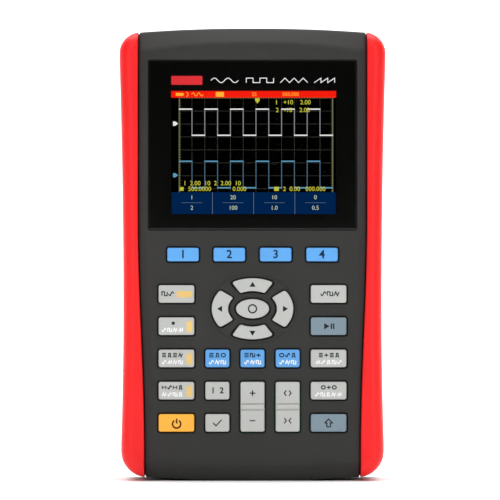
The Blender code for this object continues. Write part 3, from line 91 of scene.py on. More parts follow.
# ---------------------------------------------------------------- sizes of the case
WAIST_WIDTH = 113.6
FOOT_WIDTH = 115.6
SHOULDER_Z = HEIGHT - 14
WAIST_Z = 76.0
FOOT_Z = 16.0
END_RADIUS = 590.0
END_LAND = 10.0
HIGH_CORNER = 8.5
LOW_CORNER = 10.7
SEAT_GAP = 0.3
SLOT_GAP = 0.4
GRIP_WALL = 3.3
GRIP_GAP = 0.5
FACE_Y = WINDOW_LO[1] - SEAT_GAP
FACE_TOP_WIDTH = 99.7
FACE_FOOT_WIDTH = 94.2
FACE_NARROWS = (15.0, 115.0)
FACE_WALL = 2.5
SIDE_BEVEL = 3.3
SIDE_BEVEL_DROP = 1.0
END_SLOPE_DROP = 5.3
HOOD_SLOPE = 6.5
HOOD_BREAK_RADIUS = 245.0
FOOT_SLOPE = 7.0
FOOT_BREAK_RADIUS = 420.0
LEDGE_Y = FACE_Y + 3.0
CASE_WALL = 2.4
FACE_CORNER = 0.9
LIP = 0.12  # radius of a moulded edge round an opening

# ---------------------------------------------------------------- sizes of the recess and the back
RECESS_WIDTH = 88.0
RECESS_WALL = 2.2
RECESS_FLOOR_Z = FLOOR_HI[2] + SEAT_GAP
HOOD_BACK_Y = FLOOR_LO[1] + 0.9
PANEL_GROOVE = 1.2
WALL_BELOW_PANEL = 4.0
SKIN_OVERLAP = 1.2
BACK_ROUND = 9.0  # depth over which the back's edges round off
BACK_SIDE_INSET = (0.7, 7.3)
BACK_END_INSET = 6.0
WELL_FLOOR_Y = DOOR_HI[1]
NOTCH_WIDTH = 20.0
NOTCH_DROP = 9.5
NOTCH_DEPTH = 5.2
BAY_WALL = 3.0
BAY_FLOOR = 1.6
DOOR_RIM = 1.5
EAR_RADIUS = 5.5
BOSS_RADIUS = 4.3
SHANK_RADIUS = 1.45
HEAD_THICK = 1.9
SCREW_SINK = 0.8  # a case screw's head lies this far below the back
SLOT_DEPTH = 0.9  # depth of a screw's drive recess
STAND_BARREL = 2.0  # radius of the stand's round upper edge
PIN_RADIUS = 1.5
PIN_SHOWS = 2.6  # each hinge pin's length outside the stand
STAND_FRAME = 10.5  # width of the stand's side bars
SCREW_NAMES = [f"case_screw_{number}" for number in range(1, 5)]
HEAD_GAP = 0.35

# ---------------------------------------------------------------- sizes of the keys
FLANGE = 0.8
FLANGE_Y = FACE_Y + FACE_WALL + SEAT_GAP
FLANGE_THICK = 1.0
PILL = -1.5  # the pill behind a cap is drawn in by this much
KEY_EDGE = 0.55
KEY_CORNER = 1.0
KEY_CROWN = 0.12
PRINT_LIFT = 0.015  # a printed mark stands this far off the cap
PRINT_SINK = KEY_CROWN + 0.1
KEY_UNSHADED = 0.35  # a key's side keeps its colour down to this far in front of the face; deeper down it is painted dark, as painted shade in its gap
KEY_TRIM = 0.08  # a cap is this much smaller all round than the key's own outline
KEYWAY = 0.70  # clearance of a cap in the face
NAV_OUTER = np.array((18.0, 13.5))
NAV_INNER = np.array((10.6, 7.7))
NAV_CORNER = 0.95
NAV_DEGREES = {"right_key": (0, 30.3), "up_key": (90, 38.5), "left_key": (180, 30.3), "down_key": (270, 38.5)}
OK_AXES = np.array((7.35, 4.35))
MOUND_AXES = np.array((19.7, 15.3))
MOUND_RISE = 0.6
MOUND_EDGE = 0.7
SLATE_KEYS = ("run_stop_key", "shift_key")
LABEL_BLUE = ("status_key", "storage_key", "reference_key")
SMALL_BLUE = tuple(f"function_key_{number}" for number in range(1, 5))
RECT_GREY = (
    "mode_key", "acquire_key", "configure_key", "cursor_key", "auto_key", "utility_key", "help_key",
    "channel_key", "select_key",
)
RECT_KEYS = (*RECT_GREY, *SLATE_KEYS, *LABEL_BLUE, *SMALL_BLUE, "power_key")
ROCKERS = ("volts_rocker", "time_rocker")


def key_centre(name):
    """The middle of a CAD node's box, seen from the front."""
    lo, hi = span(name)
    return (lo[0] + hi[0]) / 2, (lo[2] + hi[2]) / 2


NAV_Z = key_centre("ok_key")[1]


# ================================================================ curves and outlines
def rise(x, radius=END_RADIUS):
    """How far an end has curved in at x: a circle's sagitta outside the level land in its middle."""
    over = np.maximum(np.abs(x) - END_LAND / 2, 0)
    return radius - np.sqrt(radius**2 - over**2)


def half_width(z):
    """Half the silhouette's width: the waist's, plus a share that grows with the square of the distance."""
    up = np.clip((z - WAIST_Z) / (SHOULDER_Z - WAIST_Z), 0, 1) ** 2 * (WIDTH - WAIST_WIDTH)
    down = np.clip((WAIST_Z - z) / (WAIST_Z - FOOT_Z), 0, 1) ** 2 * (FOOT_WIDTH - WAIST_WIDTH)
    return (WAIST_WIDTH + up + down) / 2


def face_half_width(z):
    """Half the grey face's width: a smooth step from the foot up to the window."""
    share = np.clip((z - FACE_NARROWS[0]) / (FACE_NARROWS[1] - FACE_NARROWS[0]), 0, 1)
    return (FACE_FOOT_WIDTH + (FACE_TOP_WIDTH - FACE_FOOT_WIDTH) * share**2 * (3 - 2 * share)) / 2


def soft(value, softness):
    """The positive part of value, rounded off round zero: half of value plus the root of its square."""
    return (value + np.sqrt(value**2 + softness**2)) / 2


def mirrored(right):
    """A closed outline from its right half, low end first, and that half's mirror image."""
    return np.concatenate([right, right[::-1] * (-1, 1)])


def tall_outline(side, low, high, low_corner, high_corner, ends=12, turns=9, sides=56):
    """A tall closed outline. A rounded square in (u, v) is stretched so that u = 1 is side(z), v = 0 is
    low(x) and v = 1 is high(x); each corner is a quarter of an ellipse of the corner's radius."""
    reach, tall = side(np.array(HEIGHT / 2)), HEIGHT
    low_u, low_v = low_corner / reach, low_corner / tall
    high_u, high_v = high_corner / reach, high_corner / tall
    quarter = np.linspace(0, np.pi / 2, turns)
    u = np.concatenate([
        np.linspace(0.02, 1 - low_u, ends)[:-1],
        1 - low_u + low_u * np.sin(quarter),
        np.ones(sides),
        1 - high_u + high_u * np.cos(quarter),
        np.linspace(1 - high_u, 0.02, ends)[1:],
    ])
    v = np.concatenate([
        np.zeros(ends - 1),
        low_v - low_v * np.cos(quarter),
        np.linspace(low_v, 1 - high_v, sides + 2)[1:-1],
        1 - high_v + high_v * np.sin(quarter),
        np.ones(ends - 1),
    ])
    z = v * tall
    for _ in range(4):
        x = u * side(z)
        z = low(x) + v * (high(x) - low(x))
    return mirrored(np.stack([x, z], 1))


def body_outline(side_inset, end_inset=None):
    """The whole instrument's silhouette, drawn in."""
    end = side_inset if end_inset is None else end_inset
    return tall_outline(
        lambda z: half_width(z) - side_inset,
        lambda x: end + rise(x),
        lambda x: HEIGHT - end - rise(x),
        max(LOW_CORNER - side_inset, 1.0),
        max(HIGH_CORNER - side_inset, 1.0),
    )


def face_outline(side_inset=0.0, share=0.0, end_inset=0.0, corner=FACE_CORNER):
    """The face between the grips; share 1 stops it at the two lines where the ends begin to slope."""
    return tall_outline(
        lambda z: face_half_width(z) - side_inset,
        lambda x: end_inset + rise(x) + share * (FOOT_SLOPE + rise(x, FOOT_BREAK_RADIUS) - rise(x)),
        lambda x: HEIGHT - end_inset - rise(x) - share * (HOOD_SLOPE + rise(x, HOOD_BREAK_RADIUS) - rise(x)),
        corner,
        corner,
    )


def rounded_rectangle(centre, size, corner, turns=6):
    """A rectangle with its four corners a quarter circle each, low middle first."""
    half = np.array(size) / 2
    corner = min(corner, half.min() - 0.01)
    quarter = np.linspace(0, np.pi / 2, turns)
    low = np.stack([
        half[0] - corner + corner * np.sin(quarter),
        -half[1] + corner - corner * np.cos(quarter),
    ], 1)
    middle = np.array([[half[0] * 0.3, -half[1]]])
    right = np.concatenate([middle, low, low[::-1] * (1, -1), middle * (1, -1)])
    return mirrored(right) + np.array(centre)


def oval(centre, axes, steps=48):
    """An ellipse, its lowest point between the first and last vertices."""
    turn = (np.arange(steps) + 0.5) * 2 * np.pi / steps - np.pi / 2
    return np.stack([axes[0] * np.cos(turn), axes[1] * np.sin(turn)], 1) + np.array(centre)


def nav_sector(name, grow):
    """An arrow key: a rounded rectangle in (along, across), bent so that along runs round the oval ring and
    across goes from the inner oval to the outer."""
    middle, half = np.radians(NAV_DEGREES[name])
    inner, outer = NAV_INNER - grow, NAV_OUTER + grow
    mean = (inner + outer) / 2
    radius = np.prod(mean) / np.hypot(mean[1] * np.cos(middle), mean[0] * np.sin(middle))
    length = half * radius + grow
    thick = (outer - inner).mean()
    flat = rounded_rectangle((0, 0), (thick, 2 * length), max(NAV_CORNER + grow, 0.12), turns=7)
    # More points along the two long sides, so that they bend smoothly.
    dense = resample(flat, 96)
    angle = middle + dense[:, 1] / radius
    share = (dense[:, 0] / thick + 0.5)[:, None]
    axes = inner + (outer - inner) * share
    size = axes.prod(1) / np.hypot(axes[:, 1] * np.cos(angle), axes[:, 0] * np.sin(angle))
    return np.stack([size * np.cos(angle), NAV_Z + size * np.sin(angle)], 1)


def resample(outline, count):
    """The closed outline as count points at equal steps along its length, its first point kept."""
    loop = np.concatenate([outline, outline[:1]])
    run = np.concatenate([[0], np.cumsum(np.linalg.norm(np.diff(loop, axis=0), axis=1))])
    at = (np.arange(count) + 0.5) * run[-1] / count
    return np.stack([np.interp(at, run, loop[:, 0]), np.interp(at, run, loop[:, 1])], 1)


def key_outline(name, grow=0.0):
    """A key's cap seen from the front, grown on all sides."""
    grow = grow - KEY_TRIM
    if name in NAV_DEGREES:
        return nav_sector(name, grow)
    if name == "ok_key":
        return oval((0, NAV_Z), OK_AXES + grow)
    lo, hi = span(name)
    size = (hi[0] - lo[0] - 2 * FLANGE + 2 * grow, cap_height(name) + 2 * grow)
    return rounded_rectangle(key_centre(name), size, max(KEY_CORNER + grow, 0.25))


def cap_height(name):
    """The cap's height; a rocker's flange is only at its middle, so its box is the cap's."""
    lo, hi = span(name)
    return hi[2] - lo[2] - (0 if name in ROCKERS else 2 * FLANGE)


# ================================================================ meshes
def table(*columns):
    """Rows from their columns; a single number stands for a whole column."""
    return np.stack(np.broadcast_arrays(*columns), 1)


def at_depth(outline, y):
    """An outline in the XZ plane as points at depth y."""
    return table(outline[:, 0], y, outline[:, 1])


def outwards(points, faces):
    """The faces, turned round if the volume they enclose, from the triple products of each quad's two
    triangles, comes out negative."""
    corners = points[faces]
    volume = sum(
        np.einsum("ij,ij->i", corners[:, 0], np.cross(corners[:, second], corners[:, second + 1])).sum()
        for second in (1, 2)
    )
    return faces if volume > 0 else faces[:, ::-1]


def skin(rings):
    """A closed surface over rings of equal length: quads between rings, and a ladder of quads between
    vertices i and n - 1 - i over each end."""
    rings = np.asarray(rings, float)
    count, size = rings.shape[:2]
    index = np.arange(count * size).reshape(count, size)
    after = np.roll(index, -1, axis=1)
    walls = np.stack([index[:-1], index[1:], after[1:], after[:-1]], -1).reshape(-1, 4)
    step = np.arange(size // 2 - 1)
    ladder = np.stack([step, step + 1, size - 2 - step, size - 1 - step], 1)
    faces = np.concatenate([walls, index[0][ladder], index[-1][ladder][:, ::-1]])
    points = rings.reshape(-1, 3)
    return points, outwards(points, faces)


def stack(parts):
    """Several skins as one list of points and faces."""
    starts = np.cumsum([0] + [len(points) for points, _ in parts[:-1]])
    return (
        np.concatenate([points for points, _ in parts]),
        np.concatenate([faces + start for (_, faces), start in zip(parts, starts)]),
    )


def place_in_scene(name, data):
    """An object that holds the data, linked to the scene."""
    made = bpy.data.objects.new(name, data)
    bpy.context.scene.collection.objects.link(made)
    return made


def make(name, skinned, material=None, smooth=35):
    """A Blender object from points in millimetres and faces."""
    points, faces = skinned
    mesh = bpy.data.meshes.new(name)
    mesh.from_pydata((points * MM).tolist(), [], faces.tolist())
    made = place_in_scene(name, mesh)
    weld(made)
    if material:
        dress(made, material, smooth)
    return made


def weld(made, turn_faces=False):
    """Joins vertices that fall on one another, as at the pole of a turned shape, and can turn every face
    outwards, which a thickened numeral's inner walls need."""
    shape = bmesh.new()
    shape.from_mesh(made.data)
    bmesh.ops.remove_doubles(shape, verts=shape.verts, dist=WELD_REACH)
    bmesh.ops.dissolve_degenerate(shape, edges=shape.edges, dist=WELD_REACH / 10)
    if turn_faces:
        bmesh.ops.recalc_face_normals(shape, faces=shape.faces)
    shape.to_mesh(made.data)
    shape.free()


def dress(made, material, smooth=35):
    """Gives the piece a material, and smooth shading up to an angle in degrees."""
    made.data.materials.clear()
    made.data.materials.append(material)
    made.data.shade_smooth()
    made.data.set_sharp_from_angle(angle=math.radians(smooth))
    return made


def put(made, body, slot, *nodes):
    """Rides the piece on a body and hides the nodes it replaces; the argument slot is not used."""
    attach(made, body)
    if nodes:
        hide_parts(*nodes)
    return made


def carve(made, steps):
    """Applies a list of (operation, tool) Booleans in turn and removes the tools."""
    for operation, tool in steps:
        change = made.modifiers.new(tool.name, "BOOLEAN")
        change.operation = operation
        change.object = tool
        change.solver = "MANIFOLD"
    graph = bpy.context.evaluated_depsgraph_get()
    mesh = bpy.data.meshes.new_from_object(made.evaluated_get(graph))
    made.modifiers.clear()
    made.data = mesh
    for _, tool in steps:
        bpy.data.objects.remove(tool)
    return made


def joined(*tools):
    """Boolean steps that add the tools in turn."""
    return [("UNION", tool) for tool in tools]


def cut(*tools):
    """Boolean steps that take the tools away in turn."""
    return [("DIFFERENCE", tool) for tool in tools]


def prism(outline, front, back):
    """An outline given depth."""
    return skin([at_depth(outline, front), at_depth(outline, back)])


def block(x, y, z, corner=0.0):
    """A block between two depths whose upright edges are rounded by corner."""
    centre = ((x[0] + x[1]) / 2, (z[0] + z[1]) / 2)
    return prism(rounded_rectangle(centre, (x[1] - x[0], z[1] - z[0]), max(corner, 0.02), 5), y[0], y[1])


def bar(axis, centre, radius, ends, segments=32):
    """A round bar along an axis; centre holds the other two coordinates in order."""
    ring = oval(centre, (radius, radius), segments)
    return skin([np.insert(ring, "XYZ".index(axis), end, axis=1) for end in ends])


def turned(profile, centre, axis="Z", segments=48):
    """A profile of (radius, height) carried round an axis: x = r cos t, y = r sin t. It is closed on itself
    unless both its ends lie on the axis."""
    profile = np.asarray(profile, float)
    closed = profile[0, 0] > 0 and profile[-1, 0] > 0
    turn = np.arange(segments) * 2 * np.pi / segments
    radius, height = profile[:, 0], profile[:, 1]
    across = radius[None] * np.cos(turn)[:, None]
    over = radius[None] * np.sin(turn)[:, None]
    level = np.broadcast_to(height, across.shape)
    order = {"Z": (across, over, level), "Y": (across, level, over), "X": (level, across, over)}[axis]
    placed = np.stack(order, -1) + np.array(centre)
    points = placed.reshape(-1, 3)
    index = np.arange(len(points)).reshape(placed.shape[:2])
    beside = np.roll(index, -1, axis=0)
    if closed:
        up, up_beside = np.roll(index, -1, axis=1), np.roll(beside, -1, axis=1)
        faces = np.stack([index, beside, up_beside, up], -1)
    else:
        faces = np.stack([index[:, :-1], beside[:, :-1], beside[:, 1:], index[:, 1:]], -1)
    return points, outwards(points, faces.reshape(-1, 4))


def edge_rings(outline, start, end, lead=KEY_EDGE, tail=0.0, turns=6):
    """Rings of a plate with rounded rims: outline(grow) is drawn in along a quarter circle at each end."""
    quarter = np.linspace(0, np.pi / 2, turns)
    sign = 1 if end > start else -1
    rings = [
        at_depth(outline(-lead * (1 - np.sin(a))), start + sign * lead * (1 - np.cos(a))) for a in quarter
    ]
    if tail:
        rings += [
            at_depth(outline(-tail * (1 - np.cos(a))), end - sign * tail * (1 - np.sin(a))) for a in quarter
        ]
    else:
        rings.append(at_depth(outline(0), end))
    return rings


def flared(outline, gap, face, back, lip=LIP, turns=5):
    """A cutter for a hole whose mouth has a rounded lip: a quarter circle from the face into the wall."""
    quarter = np.linspace(0, np.pi / 2, turns)
    rings = [at_depth(outline(gap + lip), face - 2.0), at_depth(outline(gap + lip), face - 0.01)]
    rings += [
        at_depth(outline(gap + lip * (1 - np.sin(a))), face + lip * (1 - np.cos(a))) for a in quarter[1:]
    ]
    rings.append(at_depth(outline(gap), back))
    return skin(rings)


# ================================================================ materials
def new_material(name):
    """A material with its nodes, links and shader."""
    material = bpy.data.materials.new(name)
    material.use_nodes = True
    nodes = material.node_tree.nodes
    return material, nodes, material.node_tree.links, nodes["Principled BSDF"]


def preset(node, values):
    """Sets a node's inputs by name."""
    for name, value in values.items():
        node.inputs[name].default_value = value
    return node


def speckle(nodes, links, scale, detail=3.0):
    """Noise over Object coordinates; scale counts features in a metre."""
    coordinates = nodes.new("ShaderNodeTexCoord")
    noise = preset(nodes.new("ShaderNodeTexNoise"), {"Scale": scale, "Detail": detail})
    links.new(coordinates.outputs["Object"], noise.inputs["Vector"])
    return noise.outputs["Fac"]


def between(nodes, links, factor, low, high, lowest=0.3, highest=0.7):
    """The factor's middle range spread from the value or colour low to high."""
    if isinstance(low, tuple):
        ramp = nodes.new("ShaderNodeValToRGB")
        for stop, place, colour in zip(ramp.color_ramp.elements, (lowest, highest), (low, high)):
            stop.position = place
            stop.color = (*colour, 1)
        links.new(factor, ramp.inputs["Fac"])
        return ramp.outputs["Color"]
    spread = preset(nodes.new("ShaderNodeMapRange"), {
        "From Min": lowest, "From Max": highest, "To Min": low, "To Max": high,
    })
    links.new(factor, spread.inputs["Value"])
    return spread.outputs["Result"]


def dark_below(nodes, links, colour, depth):
    """The colour down to a depth, and nearly black half a millimetre past it: painted shade where a part goes
    down into a dark gap.
    """
    split = nodes.new("ShaderNodeSeparateXYZ")
    links.new(nodes.new("ShaderNodeTexCoord").outputs["Object"], split.inputs["Vector"])
    shade = between(nodes, links, split.outputs["Y"], 1.0, 0.04, depth * MM, (depth + 0.5) * MM)
    mixed = nodes.new("ShaderNodeMix")
    mixed.data_type = "RGBA"
    preset(mixed, {"A": (0.0, 0.0, 0.0, 1)})
    links.new(shade, mixed.inputs["Factor"])
    links.new(colour, mixed.inputs["B"])
    return mixed.outputs["Result"]


def moulded(name, colour, rough, grain=2600, relief=0.02, tint=0.07, coat=0.0, specular=0.5, metallic=0.0,
            painted_shade_depth=None):
    """A moulded or plated finish: broad and fine noise move its colour and roughness, fine noise its relief.
    Past a given depth its colour is painted dark, as painted shade down in a gap."""
    material, nodes, links, shader = new_material(name)
    broad = speckle(nodes, links, 28)
    fine = speckle(nodes, links, grain, 2.0)
    low = tuple(channel * (1 - tint) for channel in colour)
    high = tuple(min(channel * (1 + tint), 1.0) for channel in colour)
    tinted = between(nodes, links, broad, low, high)
    if painted_shade_depth is not None:
        tinted = dark_below(nodes, links, tinted, painted_shade_depth)
    links.new(tinted, shader.inputs["Base Color"])
    links.new(between(nodes, links, fine, rough * 0.9, min(rough * 1.12, 1)), shader.inputs["Roughness"])
    bump = preset(nodes.new("ShaderNodeBump"), {"Strength": 0.35, "Distance": relief * MM})
    links.new(fine, bump.inputs["Height"])
    links.new(bump.outputs["Normal"], shader.inputs["Normal"])
    preset(shader, {
        "Metallic": metallic, "Coat Weight": coat, "Coat Roughness": 0.2, "Specular IOR Level": specular,
    })
    return material


def lit(name, colour):
    """A lit element of the display: its cells' fine pitch shows as a slight ripple in brightness."""
    material, nodes, links, shader = new_material(name)
    ripple = between(nodes, links, speckle(nodes, links, 3200, 1.0), 0.94, 1.06)
    links.new(ripple, shader.inputs["Emission Strength"])
    preset(shader, {
        "Base Color": (0.0, 0.0, 0.0, 1), "Emission Color": (*colour, 1), "Roughness": 0.6,
        "Specular IOR Level": 0.0,
    })
    return material


def board_material():
    """Green solder mask over copper: a fine grid of lighter tracks."""
    material, nodes, links, shader = new_material("board_green")
    coordinates = nodes.new("ShaderNodeTexCoord")
    bricks = preset(nodes.new("ShaderNodeTexBrick"), {
        "Scale": 180, "Color1": (0.012, 0.11, 0.04, 1), "Color2": (0.016, 0.14, 0.05, 1),
        "Mortar": (0.03, 0.22, 0.08, 1), "Mortar Size": 0.03,
    })
    turned_up = preset(nodes.new("ShaderNodeMapping"), {"Rotation": (math.pi / 2, 0, 0)})
    links.new(coordinates.outputs["Object"], turned_up.inputs["Vector"])
    links.new(turned_up.outputs["Vector"], bricks.inputs["Vector"])
    links.new(bricks.outputs["Color"], shader.inputs["Base Color"])
    preset(shader, {"Roughness": 0.35})
    return material


def clear_material():
    """A clear pane: full transmission, with the faintest broad haze in its roughness."""
    material, nodes, links, shader = new_material("clear_lens")
    haze = between(nodes, links, speckle(nodes, links, 60), 0.0, 0.02)
    links.new(haze, shader.inputs["Roughness"])
    preset(shader, {"Base Color": (1, 1, 1, 1), "Transmission Weight": 1.0, "IOR": 1.1})
    return material


def rubber(name, colour, rough=0.5, tint=0.03):
    """A key's silicone: fine matt grain, and painted shade where it goes down into its gap: its colour is
    painted dark there.
    """
    return moulded(name, colour, rough, grain=3600, relief=0.015, tint=tint, painted_shade_depth=FACE_Y - KEY_UNSHADED)


CASE = moulded("case_plastic", (0.0365, 0.0365, 0.0350), 0.50, grain=3000, relief=0.03, tint=0.05,
               specular=0.10)
REAR = moulded("rear_plastic", (0.0375, 0.0375, 0.0360), 0.55, grain=2400, relief=0.04, tint=0.05,
               specular=0.10)
RED = moulded("grip_red", (0.84, 0.011, 0.012), 0.38, grain=1900, tint=0.03, specular=0.28)
GREY_RUBBER = rubber("key_grey", (0.465, 0.475, 0.455), 0.55, 0.025)
BLUE_RUBBER = rubber("key_blue", (0.095, 0.36, 0.78))
SKY_RUBBER = rubber("key_sky", (0.10, 0.34, 0.72))
SLATE_RUBBER = rubber("key_slate", (0.178, 0.25, 0.30), 0.55)
ORANGE_RUBBER = rubber("key_orange", (0.95, 0.43, 0.035), tint=0.02)
MAT_GREY = moulded("mat_grey", (0.10, 0.10, 0.10), 0.7)
BLACK_RUBBER = moulded("cover_rubber", (0.022, 0.022, 0.022), 0.7, grain=1500, relief=0.03)
BLACK_PLASTIC = moulded("black_plastic", (0.016, 0.016, 0.016), 0.45)
BORDER = moulded("window_border", (0.0022, 0.0022, 0.002), 0.09, grain=900, relief=0.001, specular=0.4)
PANEL_OFF = moulded("panel_unlit", (0.0006, 0.0006, 0.0008), 0.5, grain=2400, relief=0.001, specular=0.0)
WHITE_PLASTIC = moulded("holder_white", (0.72, 0.72, 0.70), 0.5)
NICKEL = moulded("nickel_plate", (0.66, 0.63, 0.58), 0.22, grain=1200, relief=0.003, metallic=1.0)
TIN = moulded("tin_plate", (0.56, 0.57, 0.58), 0.33, grain=900, relief=0.006, metallic=1.0)
STEEL = moulded("dark_zinc", (0.20, 0.20, 0.21), 0.34, grain=1800, relief=0.006, metallic=1.0)
GOLD = moulded("gold_flash", (0.88, 0.63, 0.24), 0.22, grain=1200, relief=0.002, metallic=1.0)
INSULATOR = moulded("insulator_white", (0.82, 0.82, 0.78), 0.42)
WRAP = moulded("cell_wrap", (0.035, 0.07, 0.24), 0.3, grain=500, relief=0.03, coat=0.3)
BOARD = board_material()
CLEAR = clear_material()
INK = moulded("dark_ink", (0.010, 0.012, 0.016), 0.7, specular=0.2)
NAVY_INK = moulded("navy_ink", (0.004, 0.022, 0.065), 0.7, specular=0.2)
BROWN_INK = moulded("brown_ink", (0.075, 0.022, 0.003), 0.7, specular=0.2)
PALE_INK = moulded("pale_ink", (0.80, 0.82, 0.82), 0.55)
AMBER_INK = moulded("amber_ink", (0.74, 0.50, 0.16), 0.55)


# ================================================================ front half of the case
def face_ring(drop):
    """The face's outline at a depth below its plane. Each slope is drop = s * soft(q), with q the distance
    past its break line, so q = (D^2 - e^2) / 2D with D = 2 drop / s."""

    def beyond(slope, softness):
        """How far past the break line the slope has dropped this much."""
        twice = 2 * drop / slope
        return max((twice**2 - softness**2) / (2 * twice), -1.2)

    side = soft(SIDE_BEVEL - beyond(SIDE_BEVEL_DROP / SIDE_BEVEL, 0.35), 0.25)
    share = soft(1 - beyond(END_SLOPE_DROP / HOOD_SLOPE, 0.9) / HOOD_SLOPE, 0.07)
    return at_depth(face_outline(side, share), FACE_Y + drop)


def recess_wall(side, sections):
    """A side wall of the recess: a lath whose top steps down towards the back."""
    middle = side * (RECESS_WIDTH + RECESS_WALL) / 2
    low = FLOOR_LO[2] - WALL_BELOW_PANEL
    high = HEIGHT - rise(middle)
    return skin([
        at_depth(
            rounded_rectangle((middle, (low + high - cut) / 2), (RECESS_WALL, high - cut - low), 0.02), y
        )
        for y, cut in sections
    ])


def recess_tool(name, front):
    """The cut that opens the upper end's recess from a depth back."""
    half = RECESS_WIDTH / 2
    return make(name, block((-half, half), (front, BACK_Y + 5), (RECESS_FLOOR_Z, HEIGHT + 5)))


def groove_tool(name, front, back):
    """A slot in the recess's walls that holds the connector panel."""
    half = RECESS_WIDTH / 2 + PANEL_GROOVE
    low, high = FLOOR_LO[2] - SEAT_GAP, FLOOR_HI[2] + SEAT_GAP
    return make(name, block((-half, half), (front, back), (low, high)))


def hood_wall():
    """The recess's front wall: level below, and along the upper end's curve less the skin above."""
    half = RECESS_WIDTH / 2 + RECESS_WALL
    x = np.linspace(half, 0.5, 16)
    low = np.array([[0.5, FLOOR_LO[2] - WALL_BELOW_PANEL], [half, FLOOR_LO[2] - WALL_BELOW_PANEL]])
    top = np.stack([x, HEIGHT - rise(x) - SKIN_OVERLAP], 1)
    outline = mirrored(np.concatenate([low, top]))
    return prism(outline, HOOD_BACK_Y - RECESS_WALL, HOOD_BACK_Y)


def box_outline(lo, hi, grow, corner):
    """A box seen from the front, drawn in or grown, with round corners."""
    centre = ((lo[0] + hi[0]) / 2, (lo[2] + hi[2]) / 2)
    size = (hi[0] - lo[0] + 2 * grow, hi[2] - lo[2] + 2 * grow)
    return rounded_rectangle(centre, size, corner)


def window_outline(grow=0.0):
    """The display window's outline, drawn in or grown."""
    return box_outline(WINDOW_LO, WINDOW_HI, grow, max(0.8 + grow, 0.2))


def screw_places():
    """Where the case screws' axes cross the face's plane."""
    return [key_centre(name) for name in SCREW_NAMES]


def mound_skin():
    """The raised oval under the navigation keys; its edge follows half a cosine, outwards and down."""
    rings = [
        at_depth(oval((0, NAV_Z), MOUND_AXES - MOUND_EDGE * (1 + np.cos(a)) / 2 - 0.05, 96),
                 FACE_Y - MOUND_RISE * (1 + np.cos(a * 0.9)) / 2)
        for a in np.linspace(0, np.pi, 9)
    ]
    rings.append(at_depth(oval((0, NAV_Z), MOUND_AXES, 96), FACE_Y + 0.8))
    return skin(rings)


def keyways(name, keys, mouth):
    """Flared cutters for the keys' openings; their rounded lips start at the depth mouth."""
    return make(name, stack([
        flared(lambda grow, key=key: key_outline(key, grow), KEYWAY, mouth, FACE_Y + FACE_WALL + 2)
        for key in keys
    ]))


def make_front_case():
    """The front half: a skin of face rings joined to a core and the keys' mound, hollowed, with the
    display's rim and the recess's walls added, and the window, keyways and recess cut out."""
    drops = np.concatenate([
        [0.01, 0.03, 0.06, 0.1, 0.16, 0.24, 0.34, 0.46, 0.6, 0.75, 0.88, 1.0, 1.15, 1.35, 1.7],
        np.linspace(2.2, END_SLOPE_DROP + 1.2, 12),
        [8.0, 11.0, PARTING_Y - FACE_Y],
    ])
    case = make("front_shell", skin([face_ring(drop) for drop in drops]))
    core = make("core", prism(body_outline(GRIP_WALL + SEAT_GAP), LEDGE_Y + 0.6, PARTING_Y))
    mound = make("mound", mound_skin())
    hollow = body_outline(GRIP_WALL + SEAT_GAP + CASE_WALL)
    cavity = make("cavity", prism(hollow, LEDGE_Y + CASE_WALL, PARTING_Y + 5))
    face_cavity = make("face_cavity", skin([
        at_depth(face_outline(SIDE_BEVEL, 1.0, CASE_WALL * 0.6), FACE_Y + FACE_WALL),
        at_depth(face_outline(CASE_WALL, 0.0, CASE_WALL), FACE_Y + END_SLOPE_DROP + CASE_WALL),
        at_depth(face_outline(CASE_WALL, 0.0, CASE_WALL), PARTING_Y + 5),
    ]))
    frame_rim = make("frame_rim", prism(
        window_outline(1.5), FACE_Y + FACE_WALL - 0.5, PANEL_LO[1] - SEAT_GAP))
    hood = make("hood_wall", hood_wall())
    sections = [(HOOD_BACK_Y - 0.5, SKIN_OVERLAP), (PARTING_Y, SKIN_OVERLAP)]
    laths = make("laths", stack([recess_wall(side, sections) for side in (-1, 1)]))
    lens_seat = make("lens_seat", flared(window_outline, SEAT_GAP, FACE_Y, WINDOW_HI[1] + SEAT_GAP, 0.35))
    view = make("view", prism(box_outline(PANEL_LO, PANEL_HI, -1.1, 0.5), FACE_Y - 2, PANEL_LO[1] + 2))
    slots = keyways("slots", (*RECT_KEYS, *ROCKERS), FACE_Y)
    nav_slots = keyways("nav_slots", ("ok_key", *NAV_DEGREES), FACE_Y - MOUND_RISE)
    space = recess_tool("front_space", HOOD_BACK_Y)
    groove = groove_tool("front_groove", HOOD_BACK_Y - PANEL_GROOVE, BACK_Y)
    carve(case, [
        *joined(core, mound), *cut(cavity, face_cavity), *joined(frame_rim, hood, laths),
        *cut(lens_seat, view, slots, nav_slots, space, groove),
    ])
    put(dress(case, CASE, 30), ROOT, "dark_case", "front_case")


